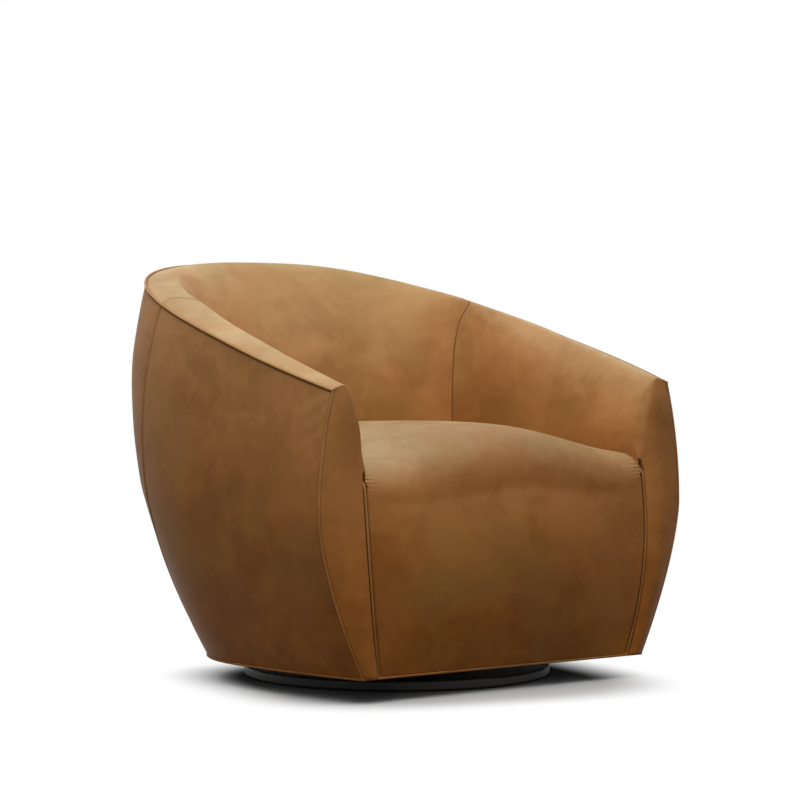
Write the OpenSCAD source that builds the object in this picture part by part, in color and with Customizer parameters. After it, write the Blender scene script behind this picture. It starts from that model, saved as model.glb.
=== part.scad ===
// Swivel barrel armchair: leather upholstery on a plywood and timber frame, turning on a
// ball bearing swivel above a round plinth. Millimetres, +Z up, the front faces -Y.
// The origin is on the floor, on the swivel axis.

/* [Body outline] */
// Half width of the body across the middle, at its widest height
body_half_w = 413; // [390:1:440]
// Half width of the body across the middle, at the bottom edge
bottom_half_w = 348; // [330:1:365]
// Half width of the body across the middle, at the height of the back's top edge
top_half_w = 368; // [355:1:385]
// Height at which the body is widest
belly_z = 390; // [360:1:420]
// Half width between the front seams of the arms, at its widest
front_half_w = 404; // [385:1:410]
// Half width between the front seams, at the bottom edge
front_bottom_half_w = 312; // [300:1:325]
// Half width between the front seams, at the arm tips
front_tip_half_w = 376; // [366:1:382]
// Height at which the front is widest
front_belly_z = 312; // [290:1:330]
// Distance of the arm fronts before the swivel axis
front_depth = 308; // [300:1:330]
// Distance of the back's outer face behind the axis, at its deepest
rear_depth = 504; // [480:1:520]
// Distance of the back's outer face behind the axis, at the bottom edge
rear_bottom_depth = 301; // [290:1:320]
// Height at which the back is deepest
rear_belly_z = 572; // [550:1:590]
// Height of the upholstery's bottom edge above the floor
bottom_z = 40; // [38:1:44]
// Height of the top edge seam over the swivel axis
edge_mid_z = 606.5; // [590:0.5:625]
// Rise of the top edge seam per length towards the back
edge_slope = 0.265; // [0.23:0.005:0.29]
// Angle round the body, from straight back, at which the arm and back panels are joined
seam_angle = 59.5; // [56:0.5:64]

/* [Inside of the arms and back] */
// Distance of the inner arms in from the top half width, beside the sitter
arm_in_side = 68; // [62:1:76]
// Distance of the inner arms in from the half width at the arm tips, at their front ends
arm_in_front = 70; // [66:1:78]
// Distance of the inner back behind the axis, at seat level
inner_rear_depth = 270; // [255:1:285]
// Distance of the back's crest in from the top edge, straight back
crest_in_back = 53; // [48:1:60]
// Distance of the crest in from the top edge, where the arm and back pads are joined
crest_in_corner = 61; // [55:1:64]
// Distance of the arms' crest in from the top edge, beside the sitter
crest_in_side = 48; // [43:1:52]
// Distance of the arms' crest in from the top edge, at the arm tips
crest_in_front = 26; // [24:1:30]
// Height of the back's crest above the top edge seam
crest_rise_back = 6.5; // [4:0.5:10]
// Height of the arms' crest above the top edge seam, beside the sitter
crest_rise_side = 16.5; // [12:0.5:18]
// Height of the arms' crest above the top edge seam, at the arm tips
crest_rise_front = 9; // [6:0.5:11]
// Height of the rolled top on the inner side
roll_h = 55; // [50:1:62]
// Share of the way out to the crest that the straight part of the inner back takes
lean_share = 0.58; // [0.5:0.02:0.64]
// The same share on the inner arms
arm_lean_share = 0.42; // [0.36:0.02:0.5]
// Crown of the inner faces
inner_crown = 9; // [0:1:14]
// Thickness of the padding on the inner back and arms
padding_t = 35; // [28:1:36]
// Thickness of the padding at the arm tips
tip_padding_t = 12; // [9:1:13]

/* [Seat] */
// Height of the seat's crown above the floor
seat_crown_z = 457; // [445:1:475]
// Height of the seat at its sides
seat_side_z = 394; // [388:1:402]
// Distance of the seat's side seams, at their widest, out from the inner arms
seat_out = 6; // [0:1:10]
// Distance of the seat's side seams in from the front seams, at the bottom edge
seat_bottom_in = 35; // [28:1:42]
// Bulge of the seat's side seams before the arm fronts
seat_seam_bulge = 16; // [8:1:20]
// Bulge of the seat's front before its side seams
seat_front_bulge = 32; // [20:1:44]
// Radius of the seat's front edge, front to back
seat_nose = 95; // [80:1:110]

/* [Covers and seams] */
// Thickness of the leather
leather_t = 2; // [1.6:0.1:2.4]
// Thickness of the fibre board liner behind the outer leather
liner_t = 3; // [2:0.5:3.5]
// Diameter of the seam welts
welt_d = 4.4; // [3.6:0.2:4.8]
// Thickness of the dust cover under the body
dust_cover_t = 1; // [0.8:0.1:1.4]

/* [Frame] */
// Thickness of the plywood rings and rails
ply_t = 18; // [15:1:19]
// Height of the seat ring's top face above the floor
seat_ring_z = 318; // [310:1:322]
// Width of the bottom ring
ring_w = 60; // [52:1:66]
// Depth of the top rail below the top edge seam
rail_drop = 45; // [42:1:50]
// Width of the posts along the wall
post_w = 44; // [36:1:50]
// Depth of the posts across the wall
post_d = 22; // [18:1:22]
// Thickness of the front board
front_board_t = 15; // [12:1:18]
// Width of one webbing strap
strap_w = 60; // [50:1:70]
// Thickness of one webbing strap
strap_t = 2; // [1.5:0.1:2.5]
// Width of one mounting rail under the body
mount_rail_w = 70; // [60:1:80]
// Height of the mounting rails
mount_rail_h = 38; // [30:1:45]

/* [Plinth and swivel] */
// Radius of the plinth disc
plinth_r = 275; // [262:1:282]
// Thickness of the plinth disc
plinth_t = 17; // [14:1:20]
// Radius of the rounded rim edges
plinth_round = 3; // [2:0.5:5]
// Thickness of the felt pad under the plinth
felt_t = 3; // [2:0.5:4]
// Side of the square swivel plates
swivel_side = 200; // [190:1:205]
// Thickness of the swivel plates
swivel_plate_t = 3; // [2.5:0.5:3]
// Radius of the ball circle
ball_circle_r = 62; // [58:1:66]
// Diameter of one bearing ball
ball_d = 10; // [9:0.5:10.5]
// Diameter of the pivot pin
pivot_d = 16; // [14:1:18]
// Distance between the plate screws along one side
screw_spacing = 170; // [160:1:172]
// Diameter of the plate screws
screw_d = 5; // [4:0.5:6]
// Depth of the plate screws in the wood
screw_depth = 12; // [8:1:13]

/* [Hidden] */

gap = 0.3;                              // clearance between soft layers
inner_half_w = top_half_w - arm_in_side;
inner_front_half_w = front_tip_half_w - arm_in_front;
seat_half_w = inner_front_half_w + seat_out;
seat_bottom_half_w = front_bottom_half_w - seat_bottom_in;
axis_y = 14;                            // centre that the round back is drawn about
arm_units = 60;                         // stations along an arm, after 90 round the back
arm_end = 90 + arm_units;
belly_drop_power = 2.2;                 // how quickly the sides draw in downwards
front_drop_power = 1.5;
rear_drop_power = 1.3;
top_z = 680;                            // height that the upper outline sizes belong to
tip_z = 520;                            // height of the arm tips in the front outline
low_square = 2.05;                      // squareness of the plan at the bottom edge
high_square = 2.73;                     // and above the seat
square_h = 300;                         // height over which it changes
inner_square = 3;                       // squareness of the inner back at seat level
crest_corner = 65;                      // station at which the crest lies furthest in
rise_from = 30;                         // station from which the crest rises towards the arms
tip_flat = 0.55;                        // share of the inner crown that is gone at the arm tips
upright_z = 400;                        // the inner faces are upright up to here
cover_in = leather_t + gap;             // depth from an outer face to what lies behind its leather
liner_in = cover_in + liner_t + gap;    // and behind its liner
welt_r = welt_d / 2;
welt_room = welt_r + 0.7;               // leather stops this far from a welt's centre
front_y = -front_depth;
front_pad = 20;                         // padding before the front frame
frame_y = front_y + front_pad;
ball_gap = 0.15;                        // running clearance of the balls
plinth_z = felt_t;
plinth_top = plinth_z + plinth_t;
cover_low = bottom_z + welt_d + 0.5;    // the covers start above the bottom welt
frame_z = bottom_z + dust_cover_t + 3 + gap;
dust_cover_z = frame_z - dust_cover_t - gap;
seat_gap = 3;                           // crevice between the seat and the arms and back
ring_gap = liner_in + 1.6;              // frame edges lie this far inside the outer face
ring_top = frame_z + ply_t;
seat_base_z = seat_ring_z + 2 * strap_t + gap;
rail_t = ply_t + 2;

leather = [0.55, 0.33, 0.16];
welt_leather = [0.62, 0.39, 0.2];
foam = [0.93, 0.87, 0.66];
plywood = [0.78, 0.64, 0.43];
timber = [0.72, 0.55, 0.34];
steel = [0.62, 0.64, 0.66];
board = [0.5, 0.4, 0.3];

function clamp(v, a, b) = min(max(v, a), b);
function mix(a, b, k) = a + (b - a) * k;
function steps(a, b, n) = [for (i = [0 : n]) mix(a, b, i / n)];

// Outer outline: half widths and back depth at height z
function swell(z, most, low, high, most_z, high_z, power) =
    z < most_z ? most - (most - low) * pow((most_z - z) / (most_z - bottom_z), power)
               : most - (most - high) * pow((z - most_z) / (high_z - most_z), 2);
function side_w(z) =
    swell(z, body_half_w, bottom_half_w, top_half_w, belly_z, top_z, belly_drop_power);
function front_w(z) =
    swell(z, front_half_w, front_bottom_half_w, front_tip_half_w, front_belly_z, tip_z,
          front_drop_power);
function rear_y(z) =
    swell(z, rear_depth, rear_bottom_depth, rear_depth, rear_belly_z, top_z, rear_drop_power);
function squareness(z) = mix(low_square, high_square, clamp((z - bottom_z) / square_h, 0, 1));

// Stations run round the body: 0 is straight back, 90 is beside the axis, arm_end is the front
function base_at(a) = abs(a) <= 90 ? axis_y : mix(axis_y, front_y, (abs(a) - 90) / arm_units);
function ray_at(a) = abs(a) <= 90 ? [sin(a), cos(a)] : [sign(a), 0];
function place(a, r, z) = [ray_at(a)[0] * r, base_at(a) + ray_at(a)[1] * r, z];
function arm_share(a) = clamp((abs(a) - 90) / arm_units, 0, 1);
function round_r(a, w, d, n) = pow(pow(abs(sin(a)) / w, n) + pow(cos(a) / d, n), -1 / n);

// Distance of the outer face along the station's ray at height z
function arm_fit(z) = pow(min(front_w(z) / side_w(z), 0.9995), squareness(z));
function arm_x(y, z) =
    side_w(z) * pow(1 - pow((axis_y - y) / (axis_y - front_y), squareness(z)) * (1 - arm_fit(z)),
                    1 / squareness(z));
function outer_r(a, z) =
    abs(a) <= 90 ? round_r(a, side_w(z), rear_y(z) - axis_y, squareness(z)) : arm_x(base_at(a), z);

// Top edge seam: its height depends on how far back it lies
function edge_height(y) = edge_mid_z + edge_slope * y;
function edge_guess(a, z) = edge_height(place(a, outer_r(a, z), 0)[1]);
function edge_z(a) = edge_guess(a, edge_guess(a, edge_guess(a, edge_mid_z)));
function edge_r(a) = outer_r(a, edge_z(a));

// Inner face and crest
function inner_r(a) =
    abs(a) <= 90 ? round_r(a, inner_half_w, inner_rear_depth - axis_y, inner_square)
                 : mix(inner_half_w, inner_front_half_w, arm_share(a));
function ease(t) = let (k = clamp(t, 0, 1)) k * k * (3 - 2 * k);
function crest_in(a) =
    abs(a) < crest_corner ? mix(crest_in_back, crest_in_corner, ease(abs(a) / crest_corner))
    : abs(a) < 90
    ? mix(crest_in_corner, crest_in_side, ease((abs(a) - crest_corner) / (90 - crest_corner)))
    : mix(crest_in_side, crest_in_front, pow(arm_share(a), 2));
function crest_rise(a) =
    abs(a) < 90 ? mix(crest_rise_back, crest_rise_side, ease((abs(a) - rise_from) / (90 - rise_from)))
                : mix(crest_rise_side, crest_rise_front, arm_share(a));
function crest_r(a) = edge_r(a) - crest_in(a);
function crest_z(a) = edge_z(a) + crest_rise(a);
function roll_r(a) =
    mix(inner_r(a), crest_r(a), mix(lean_share, arm_lean_share, ease(abs(a) / 90)));
function roll_z(a) = crest_z(a) - roll_h;
function crown(a) = inner_crown * (1 - tip_flat * arm_share(a));

// Section of the inner face and top, for s from 0 at seat level over the crest to 1 at the edge
upright_end = 0.08;
lean_end = 0.4;
crest_at = 0.68;
function face_r(a, s) =
    s <= upright_end ? inner_r(a)
    : s <= lean_end
    ? mix(inner_r(a), roll_r(a), (s - upright_end) / (lean_end - upright_end))
      - crown(a) * sin(180 * (s - upright_end) / (lean_end - upright_end))
    : s <= crest_at
    ? mix(roll_r(a), crest_r(a), 1 - cos(90 * (s - lean_end) / (crest_at - lean_end)))
    : mix(crest_r(a), edge_r(a), (s - crest_at) / (1 - crest_at));
function face_z(a, s) =
    s <= upright_end ? mix(seat_ring_z + gap, upright_z, s / upright_end)
    : s <= lean_end ? mix(upright_z, roll_z(a), (s - upright_end) / (lean_end - upright_end))
    : s <= crest_at ? roll_z(a) + roll_h * sin(90 * (s - lean_end) / (crest_at - lean_end))
    : crest_z(a) - crest_rise(a) * pow((s - crest_at) / (1 - crest_at), 2);
face_step = 0.004;
function face_normal(a, s) =
    let (p = max(s - face_step, 0), q = min(s + face_step, 1),
         d = [face_r(a, q) - face_r(a, p), face_z(a, q) - face_z(a, p)], l = norm(d))
    s <= upright_end ? [1, 0] : [d[1] / l, -d[0] / l];
function face_point(a, s, depth) =
    place(a, face_r(a, s) + face_normal(a, s)[0] * depth, face_z(a, s) + face_normal(a, s)[1] * depth);

// Back of the padding: a constant thickness behind the face, then flat on the top rail
function padding_at(a) = mix(padding_t, tip_padding_t, arm_share(a));
function rail_plane(y) = edge_height(y) - rail_drop;
function padding_back(a, s) =
    s < lean_end ? place(a, face_r(a, s) + padding_at(a), face_z(a, s))
    : let (k = (s - lean_end) / (1 - lean_end),
           p = place(a, mix(roll_r(a) + padding_at(a), edge_r(a) - liner_in - gap, k), 0))
      [p[0], p[1], rail_plane(p[1]) + gap];

// Closed solid between two grids of points, rows[i][j]
module slab(front, back) {
    m = len(front);
    n = len(front[0]);
    pts = concat([for (row = front) for (p = row) p], [for (row = back) for (p = row) p]);
    o = m * n;
    faces = concat(
        [for (i = [0 : m - 2]) for (j = [0 : n - 2]) each [
            [i * n + j, i * n + j + 1, (i + 1) * n + j + 1],
            [i * n + j, (i + 1) * n + j + 1, (i + 1) * n + j]]],
        [for (i = [0 : m - 2]) for (j = [0 : n - 2]) each [
            [o + i * n + j, o + (i + 1) * n + j + 1, o + i * n + j + 1],
            [o + i * n + j, o + (i + 1) * n + j, o + (i + 1) * n + j + 1]]],
        [for (i = [0 : m - 2]) each [
            [i * n, (i + 1) * n, o + (i + 1) * n], [i * n, o + (i + 1) * n, o + i * n],
            [i * n + n - 1, o + (i + 1) * n + n - 1, (i + 1) * n + n - 1],
            [i * n + n - 1, o + i * n + n - 1, o + (i + 1) * n + n - 1]]],
        [for (j = [0 : n - 2]) each [
            [j, o + j + 1, j + 1], [j, o + j, o + j + 1],
            [(m - 1) * n + j, (m - 1) * n + j + 1, o + (m - 1) * n + j + 1],
            [(m - 1) * n + j, o + (m - 1) * n + j + 1, o + (m - 1) * n + j]]]);
    polyhedron(points = pts, faces = faces);
}

// Stations of the panels, with room for the welts between them
welt_deg = 0.42;                        // half the angle that a rear welt takes
back_edge = seam_angle - welt_deg;
arm_edge = seam_angle + welt_deg;
back_stations = steps(-back_edge, back_edge, 16);
side_stations = concat(steps(arm_edge, 90, 4), [for (a = steps(90, arm_end, 6)) if (a > 90) a]);
face_steps = concat(steps(0, upright_end, 1), [0.15, 0.23, 0.32, lean_end, 0.48, 0.56, 0.62, crest_at,
                    0.79, 0.9]);

function at_side(list, side) = side > 0 ? list : [for (i = [len(list) - 1 : -1 : 0]) -list[i]];
// Stops a station short of the arm's front by a length in millimetres
function short_of_front(mm) = arm_end - arm_units * mm / (axis_y - front_y);
function cut_stations(list, last) = [for (a = list) min(a, last)];

// Point of an inner cover; its outer edge stops short of the top welt
function cover_point(a, s, depth) =
    face_point(a, s, depth) - (s == 1 ? welt_room : 0) * [ray_at(a)[0], ray_at(a)[1], 0];
module inner_cover(stations) {
    list = concat(face_steps, [1]);
    slab([for (s = list) [for (a = stations) cover_point(a, s, leather_t)]],
         [for (s = list) [for (a = stations) cover_point(a, s, 0)]]);
}
// The padding ends a little before the cover's outer edge
padding_last = 0.7;
module padding(stations) {
    before = face_steps[len(face_steps) - 1];
    slab([for (s = concat(face_steps, [0.97])) [for (a = stations) padding_back(a, s)]],
         concat([for (s = face_steps) [for (a = stations) face_point(a, s, cover_in)]],
                [[for (a = stations)
                  mix(face_point(a, before, cover_in), cover_point(a, 1, cover_in), padding_last)]]));
}
outer_rows = 9;
liner_last = 0.996;                     // the liner ends just below the leather's top edge
function outer_point(a, k, depth) =
    let (z = mix(cover_low, edge_z(a) - welt_room, k)) place(a, outer_r(a, z) - depth, z);
module outer_layer(stations, depth, t, last) {
    rows = concat(steps(0, 1 - 1 / outer_rows, outer_rows - 1), [last]);
    slab([for (k = rows) [for (a = stations) outer_point(a, k, depth)]],
         [for (k = rows) [for (a = stations) outer_point(a, k, depth + t)]]);
}

// Stations of one arm, ending short of its front by a length in millimetres
frame_stations = cut_stations(side_stations, short_of_front(front_pad));
function arm_list(side, mm) = at_side(concat(frame_stations, [short_of_front(mm)]), side);
function padding_list(side) = at_side(frame_stations, side);
inner_short = 8;                        // arm pads stop this far behind the arm fronts

// Arm fronts: seat_w is the seat's side seam, arm_in the arm's inner edge above it
function seat_w(z) =
    swell(z, seat_half_w, seat_bottom_half_w, seat_half_w, front_belly_z, top_z, 2);
function seam_bulge(z) =
    seat_seam_bulge * sin(180 * clamp((z - bottom_z) / (seat_side_z - bottom_z), 0, 1));
tip_edge_z = edge_z(arm_end);
function face_at_height(z) =
    z <= upright_z ? upright_end
    : z <= roll_z(arm_end) ? mix(upright_end, lean_end, (z - upright_z) / (roll_z(arm_end) - upright_z))
    : mix(lean_end, crest_at, asin(clamp((z - roll_z(arm_end)) / roll_h, 0, 1)) / 90);
function arm_in(z) = z < seat_side_z ? seat_w(z) : face_r(arm_end, face_at_height(z));
front_rows = concat(steps(cover_low, seat_side_z - 1, 8), steps(seat_side_z + 1, tip_edge_z, 5));
front_cols = 4;
arm_front_crown = 6;
// Point of the arm front: k runs from the outer seam to the inner edge
function arm_front_point(side, z, k, inset, depth) =
    let (x = mix(front_w(z) - inset, arm_in(z) + inset, k))
    [side * x, front_y - arm_front_crown * sin(180 * k) - k * seam_bulge(z) + depth, z];
module arm_front_layer(side, inset, depth, flat_back) {
    cols = side > 0 ? steps(1, 0, front_cols) : steps(0, 1, front_cols);
    rows = [for (z = front_rows) min(z, tip_edge_z - inset)];
    slab([for (z = rows) [for (k = cols) flat_back
              ? [arm_front_point(side, z, k, inset, 0)[0], frame_y - gap, z]
              : arm_front_point(side, z, k, inset, depth)]],
         [for (z = rows) [for (k = cols) arm_front_point(side, z, k, inset, flat_back ? depth : 0)]]);
}

// Seat: u runs from side to side, v from the front's bottom edge over the nose to the back
nose_start = 0.36;
nose_end = 0.64;
crown_power = 3.5;
nose_side_r = 26;                       // radius of the front edge at the seat's sides
nose_drop = 0.8;                        // height of the rounded front edge per radius
width_share = 1.6;                      // how soon the seat has the width between the arms
seat_fall = 16;                         // the seat sinks this much towards the back
seat_rise = 14;                         // and its sides rise this much
function seat_blend(u) = 1 - pow(abs(u), crown_power);
function nose_r(u) = mix(nose_side_r, seat_nose, seat_blend(u));
function seat_top(u) = mix(seat_side_z, seat_crown_z, seat_blend(u));
function nose_z(u) = seat_top(u) - nose_drop * nose_r(u);
bulge_reach = 40;                       // the front's bulge would end this far above the crown
function front_rise(z) = clamp((z - bottom_z) / (seat_crown_z + bulge_reach - bottom_z), 0, 1);
function seat_face_y(u, z) =
    front_y - seam_bulge(z) - seat_front_bulge * (1 - u * u) * sin(180 * front_rise(z));
function seat_top_w(k) = mix(inner_front_half_w, inner_half_w, clamp(k * width_share, 0, 1)) - seat_gap;
function seat_back_y(x) =
    axis_y + (inner_rear_depth - axis_y - seat_gap)
    * pow(1 - pow(min(abs(x) / (inner_half_w - seat_gap), 0.999), inner_square), 1 / inner_square);
function nose_w(u, t) =
    mix(seat_w(nose_z(u) + nose_drop * nose_r(u) * sin(t)), seat_top_w(0), sin(t));
function seat_point(u, v, d) =
    v <= nose_start
    ? let (z = mix(cover_low, nose_z(u), v / nose_start), w = seat_w(z) - welt_room - d)
      [u * w, seat_face_y(u, z) + d, z]
    : v <= nose_end
    ? let (t = 90 * (v - nose_start) / (nose_end - nose_start), r = nose_r(u),
           w = nose_w(u, t) - welt_room * (1 - sin(t)) - d)
      [u * w, seat_face_y(u, nose_z(u)) + r * (1 - cos(t)) + d * cos(t),
       nose_z(u) + nose_drop * r * sin(t) - d * sin(t)]
    : let (k = (v - nose_end) / (1 - nose_end), w = seat_top_w(k) - d,
           y0 = seat_face_y(u, nose_z(u)) + nose_r(u), y1 = seat_back_y(u * w) - d)
      [u * w, mix(y0, y1, k), seat_top(u) - d - seat_fall * k * k * seat_blend(u)
                              + seat_rise * k * (1 - seat_blend(u))];
// Underside of the seat's padding: behind the front, then on the webbing
function seat_foam_point(u, v) =
    let (p = seat_point(u, v, cover_in), w = inner_front_half_w - seat_gap - gap)
    [clamp(p[0], -w, w), p[1], p[2]];
function seat_under(u, v) =
    let (p = seat_foam_point(u, v), k = (v - nose_start) / (nose_end - nose_start))
    v <= nose_start ? [p[0], frame_y - gap, mix(cover_low, seat_base_z, v / nose_start)]
    : [p[0], v < nose_end ? mix(frame_y - gap, seat_foam_point(u, nose_end)[1], k) : p[1], seat_base_z];
seat_cols = [-1, -0.94, -0.84, -0.68, -0.45, -0.2, 0.2, 0.45, 0.68, 0.84, 0.94, 1];
seat_rows = concat(steps(0, nose_start, 6), [0.41, 0.46, 0.52, 0.58, nose_end],
                   [for (v = steps(nose_end, 1, 7)) if (v > nose_end) v]);

// Round tube along a path; up is a direction that the path never follows
module tube(path, r, up, closed = false, sides = 6) {
    n = len(path);
    function next(i) = closed ? (i + 1) % n : min(i + 1, n - 1);
    function before(i) = closed ? (i + n - 1) % n : max(i - 1, 0);
    function tangent(i) = let (d = path[next(i)] - path[before(i)]) d / norm(d);
    pts = [for (i = [0 : n - 1])
           let (t = tangent(i), c = cross(t, up), side = c / norm(c), top = cross(side, t))
           for (k = [0 : sides - 1])
               path[i] + r * (cos(360 * k / sides) * side + sin(360 * k / sides) * top)];
    last = closed ? n - 1 : n - 2;
    walls = [for (i = [0 : last]) for (k = [0 : sides - 1])
             let (i2 = (i + 1) % n, k2 = (k + 1) % sides)
             each [[i * sides + k, i * sides + k2, i2 * sides + k2],
                   [i * sides + k, i2 * sides + k2, i2 * sides + k]]];
    caps = closed ? [] : [[for (k = [sides - 1 : -1 : 0]) k],
                          [for (k = [0 : sides - 1]) (n - 1) * sides + k]];
    polyhedron(points = pts, faces = concat(walls, caps));
}

// Plan outlines of the frame
ring_stations = concat(at_side(frame_stations, -1), back_stations, frame_stations);
function flat(p) = [p[0], p[1]];
function ring_outline(z) = [for (a = ring_stations) flat(place(a, outer_r(a, z) - ring_gap, 0))];
function hole_outline(z, w) = [for (a = ring_stations) flat(place(a, outer_r(a, z) - w, 0))];
function inner_outline(w) = [for (a = ring_stations) flat(place(a, inner_r(a) - w, 0))];
// The part of a plan outline that lies at least w behind the frame's front
module behind_front(outline, w) {
    intersection() {
        polygon(outline);
        translate([-rear_depth, frame_y + w]) square(2 * rear_depth);
    }
}

module tilted_slab(low, t) {
    reach = 700;
    rotate([90, 0, 90])
        linear_extrude(2 * reach, center = true)
            polygon([[-reach, edge_height(-reach) + low], [reach, edge_height(reach) + low],
                     [reach, edge_height(reach) + low + t], [-reach, edge_height(-reach) + low + t]]);
}

// Post between two levels: each end is given by its station, distance and height
function tangent_at(a) = abs(a) <= 90 ? [cos(a), -sin(a), 0] : [0, -sign(a), 0];
module post(a0, r0, z0, a1, r1, tilted) {
    function corner(a, r, j, z) = place(a, r, z) + j * post_w / 2 * tangent_at(a);
    function top_level(p) = tilted ? rail_plane(p[1]) - rail_t - post_gap : seat_ring_z - ply_t;
    function top(j, r) = let (p = corner(a1, r, j, 0)) [p[0], p[1], top_level(p)];
    function side(way) = [[for (j = [-1, 1]) corner(a0, r0 + way * post_d / 2, j, z0)],
                          [for (j = [-1, 1]) top(j, r1 + way * post_d / 2)]];
    slab(side(1), side(-1));
}
post_in = ring_gap + post_d / 2 + 7;    // posts stand this far inside the outer face
post_gap = 0.03;                        // glue line under the top rail
post_front = short_of_front(front_pad + post_w / 2 + 1);
post_side = 100;                        // stations of the side and back posts
post_back = 26;
front_post_lean = 48;                   // the lower front posts lean less than the wall
function rail_mid(a) = (roll_r(a) + padding_at(a) + edge_r(a) - liner_in) / 2;
module lower_post(a) {
    lean = abs(a) == post_front ? front_post_lean : 0;
    color(timber) post(a, outer_r(a, frame_z) - post_in, ring_top,
                       a, outer_r(a, seat_ring_z - ply_t) - post_in - lean, false);
}
module upper_post(a) {
    color(timber) post(a, outer_r(a, seat_ring_z) - post_in, seat_ring_z, a, rail_mid(a), true);
}

// Plinth and swivel
ball_z = (plinth_top + swivel_plate_t + frame_z - swivel_plate_t) / 2;
race_w = ball_d / 2 + 5;                // half width of one race ring
race_clear = 1;                         // the rings stay this far from the balls' middle plane
pin_flange_r = pivot_d / 2 + 5;
pin_flange_t = 4;
pin_head_t = 4;
hole_clear = 0.05;                      // radial clearance of the pin and of the screws
screw_head_r = screw_d;
screw_head_t = 3;
overcut = 1;                            // cutting solids reach this far past the cut
bright_steel = [0.72, 0.72, 0.74];
module at_screws() {
    for (x = [-1, 1], y = [-1, 1])
        translate([x * screw_spacing / 2, y * screw_spacing / 2, 0]) children();
}
module screw_hole(z, h) {
    at_screws() translate([0, 0, z]) cylinder(h = h, r = screw_d / 2 + hole_clear, $fn = 32);
}
module floor_pad() {
    color([0.12, 0.12, 0.13]) cylinder(h = felt_t, r = plinth_r - 10, $fn = 96);
}
module plinth_disc() {
    r = plinth_round;
    color([0.03, 0.03, 0.03]) difference() {
        rotate_extrude($fn = 180) union() {
            translate([0, plinth_z]) square([plinth_r - r, plinth_t]);
            translate([0, plinth_z + r]) square([plinth_r, plinth_t - 2 * r]);
            translate([plinth_r - r, plinth_z + r]) circle(r, $fn = 32);
            translate([plinth_r - r, plinth_top - r]) circle(r, $fn = 32);
        }
        translate([0, 0, plinth_top - pin_flange_t - gap])
            cylinder(h = plinth_t, r = pin_flange_r + gap, $fn = 64);
        screw_hole(plinth_top - screw_depth - gap, plinth_t);
    }
}
module plate_blank(z) {
    difference() {
        translate([-swivel_side / 2, -swivel_side / 2, z])
            cube([swivel_side, swivel_side, swivel_plate_t]);
        translate([0, 0, z - overcut])
            cylinder(h = swivel_plate_t + 2 * overcut, r = pivot_d / 2 + hole_clear, $fn = 64);
        screw_hole(z - overcut, swivel_plate_t + 2 * overcut);
    }
}
module race(z0, z1) {
    rotate_extrude($fn = 120) difference() {
        translate([ball_circle_r - race_w, z0]) square([2 * race_w, z1 - z0]);
        translate([ball_circle_r, ball_z]) circle(ball_d / 2 + ball_gap, $fn = 48);
    }
}
module swivel_lower_plate() {
    color(steel) union() {
        plate_blank(plinth_top);
        race(plinth_top + swivel_plate_t, ball_z - race_clear);
    }
}
module swivel_upper_plate() {
    color(steel) union() {
        plate_blank(frame_z - swivel_plate_t);
        race(ball_z + race_clear, frame_z - swivel_plate_t);
    }
}
ball_count = floor(180 / asin((ball_d + gap) / 2 / ball_circle_r));
module swivel_balls() {
    color(bright_steel) for (i = [0 : ball_count - 1])
        rotate([0, 0, 360 * i / ball_count])
            translate([ball_circle_r, 0, ball_z]) sphere(ball_d / 2, $fn = 32);
}
module swivel_pivot() {
    low = plinth_top - pin_flange_t;
    head_z = frame_z + gap;
    color(bright_steel) union() {
        translate([0, 0, low]) cylinder(h = pin_flange_t, r = pin_flange_r, $fn = 64);
        translate([0, 0, low]) cylinder(h = head_z + pin_head_t - low, r = pivot_d / 2, $fn = 64);
        translate([0, 0, head_z]) cylinder(h = pin_head_t, r = pin_flange_r, $fn = 64);
    }
}
// Screws through one plate at height z; turn 180 puts them in from below
module screws(z, turn) {
    shank = swivel_plate_t + screw_depth;
    color(bright_steel) at_screws() translate([0, 0, z]) rotate([turn, 0, 0]) union() {
        cylinder(h = screw_head_t, r = screw_head_r, $fn = 32);
        translate([0, 0, -shank]) cylinder(h = shank + screw_head_t / 2, r = screw_d / 2, $fn = 32);
    }
}
module plinth_screws() screws(plinth_top + swivel_plate_t, 0);
module rail_screws() screws(frame_z - swivel_plate_t, 180);

// Frame
module dust_cover() {
    plate_room = 3;
    color([0.06, 0.06, 0.06])
        translate([0, 0, dust_cover_z]) linear_extrude(dust_cover_t) difference() {
            polygon(ring_outline(frame_z));
            square(swivel_side + 2 * plate_room, center = true);
        }
}
module mount_rail(side) {
    color(timber) difference() {
        intersection() {
            translate([side * screw_spacing / 2 - mount_rail_w / 2, frame_y, frame_z])
                cube([mount_rail_w, 2 * rear_depth, mount_rail_h]);
            translate([0, 0, frame_z])
                linear_extrude(mount_rail_h) behind_front(hole_outline(frame_z, ring_w), ring_w);
        }
        screw_hole(frame_z - overcut, screw_depth + overcut + gap);
    }
}
module mount_rail_left() mount_rail(-1);
module mount_rail_right() mount_rail(1);
module bottom_ring() {
    color(plywood) translate([0, 0, frame_z]) linear_extrude(ply_t) difference() {
        polygon(ring_outline(frame_z));
        behind_front(hole_outline(frame_z, ring_w), ring_w);
    }
}
seat_bearing = 45;                      // the seat ring reaches this far in under the seat
module seat_ring() {
    color(plywood) translate([0, 0, seat_ring_z - ply_t]) linear_extrude(ply_t) difference() {
        polygon(ring_outline(seat_ring_z - ply_t));
        behind_front(inner_outline(seat_bearing), seat_bearing);
    }
}
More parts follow.
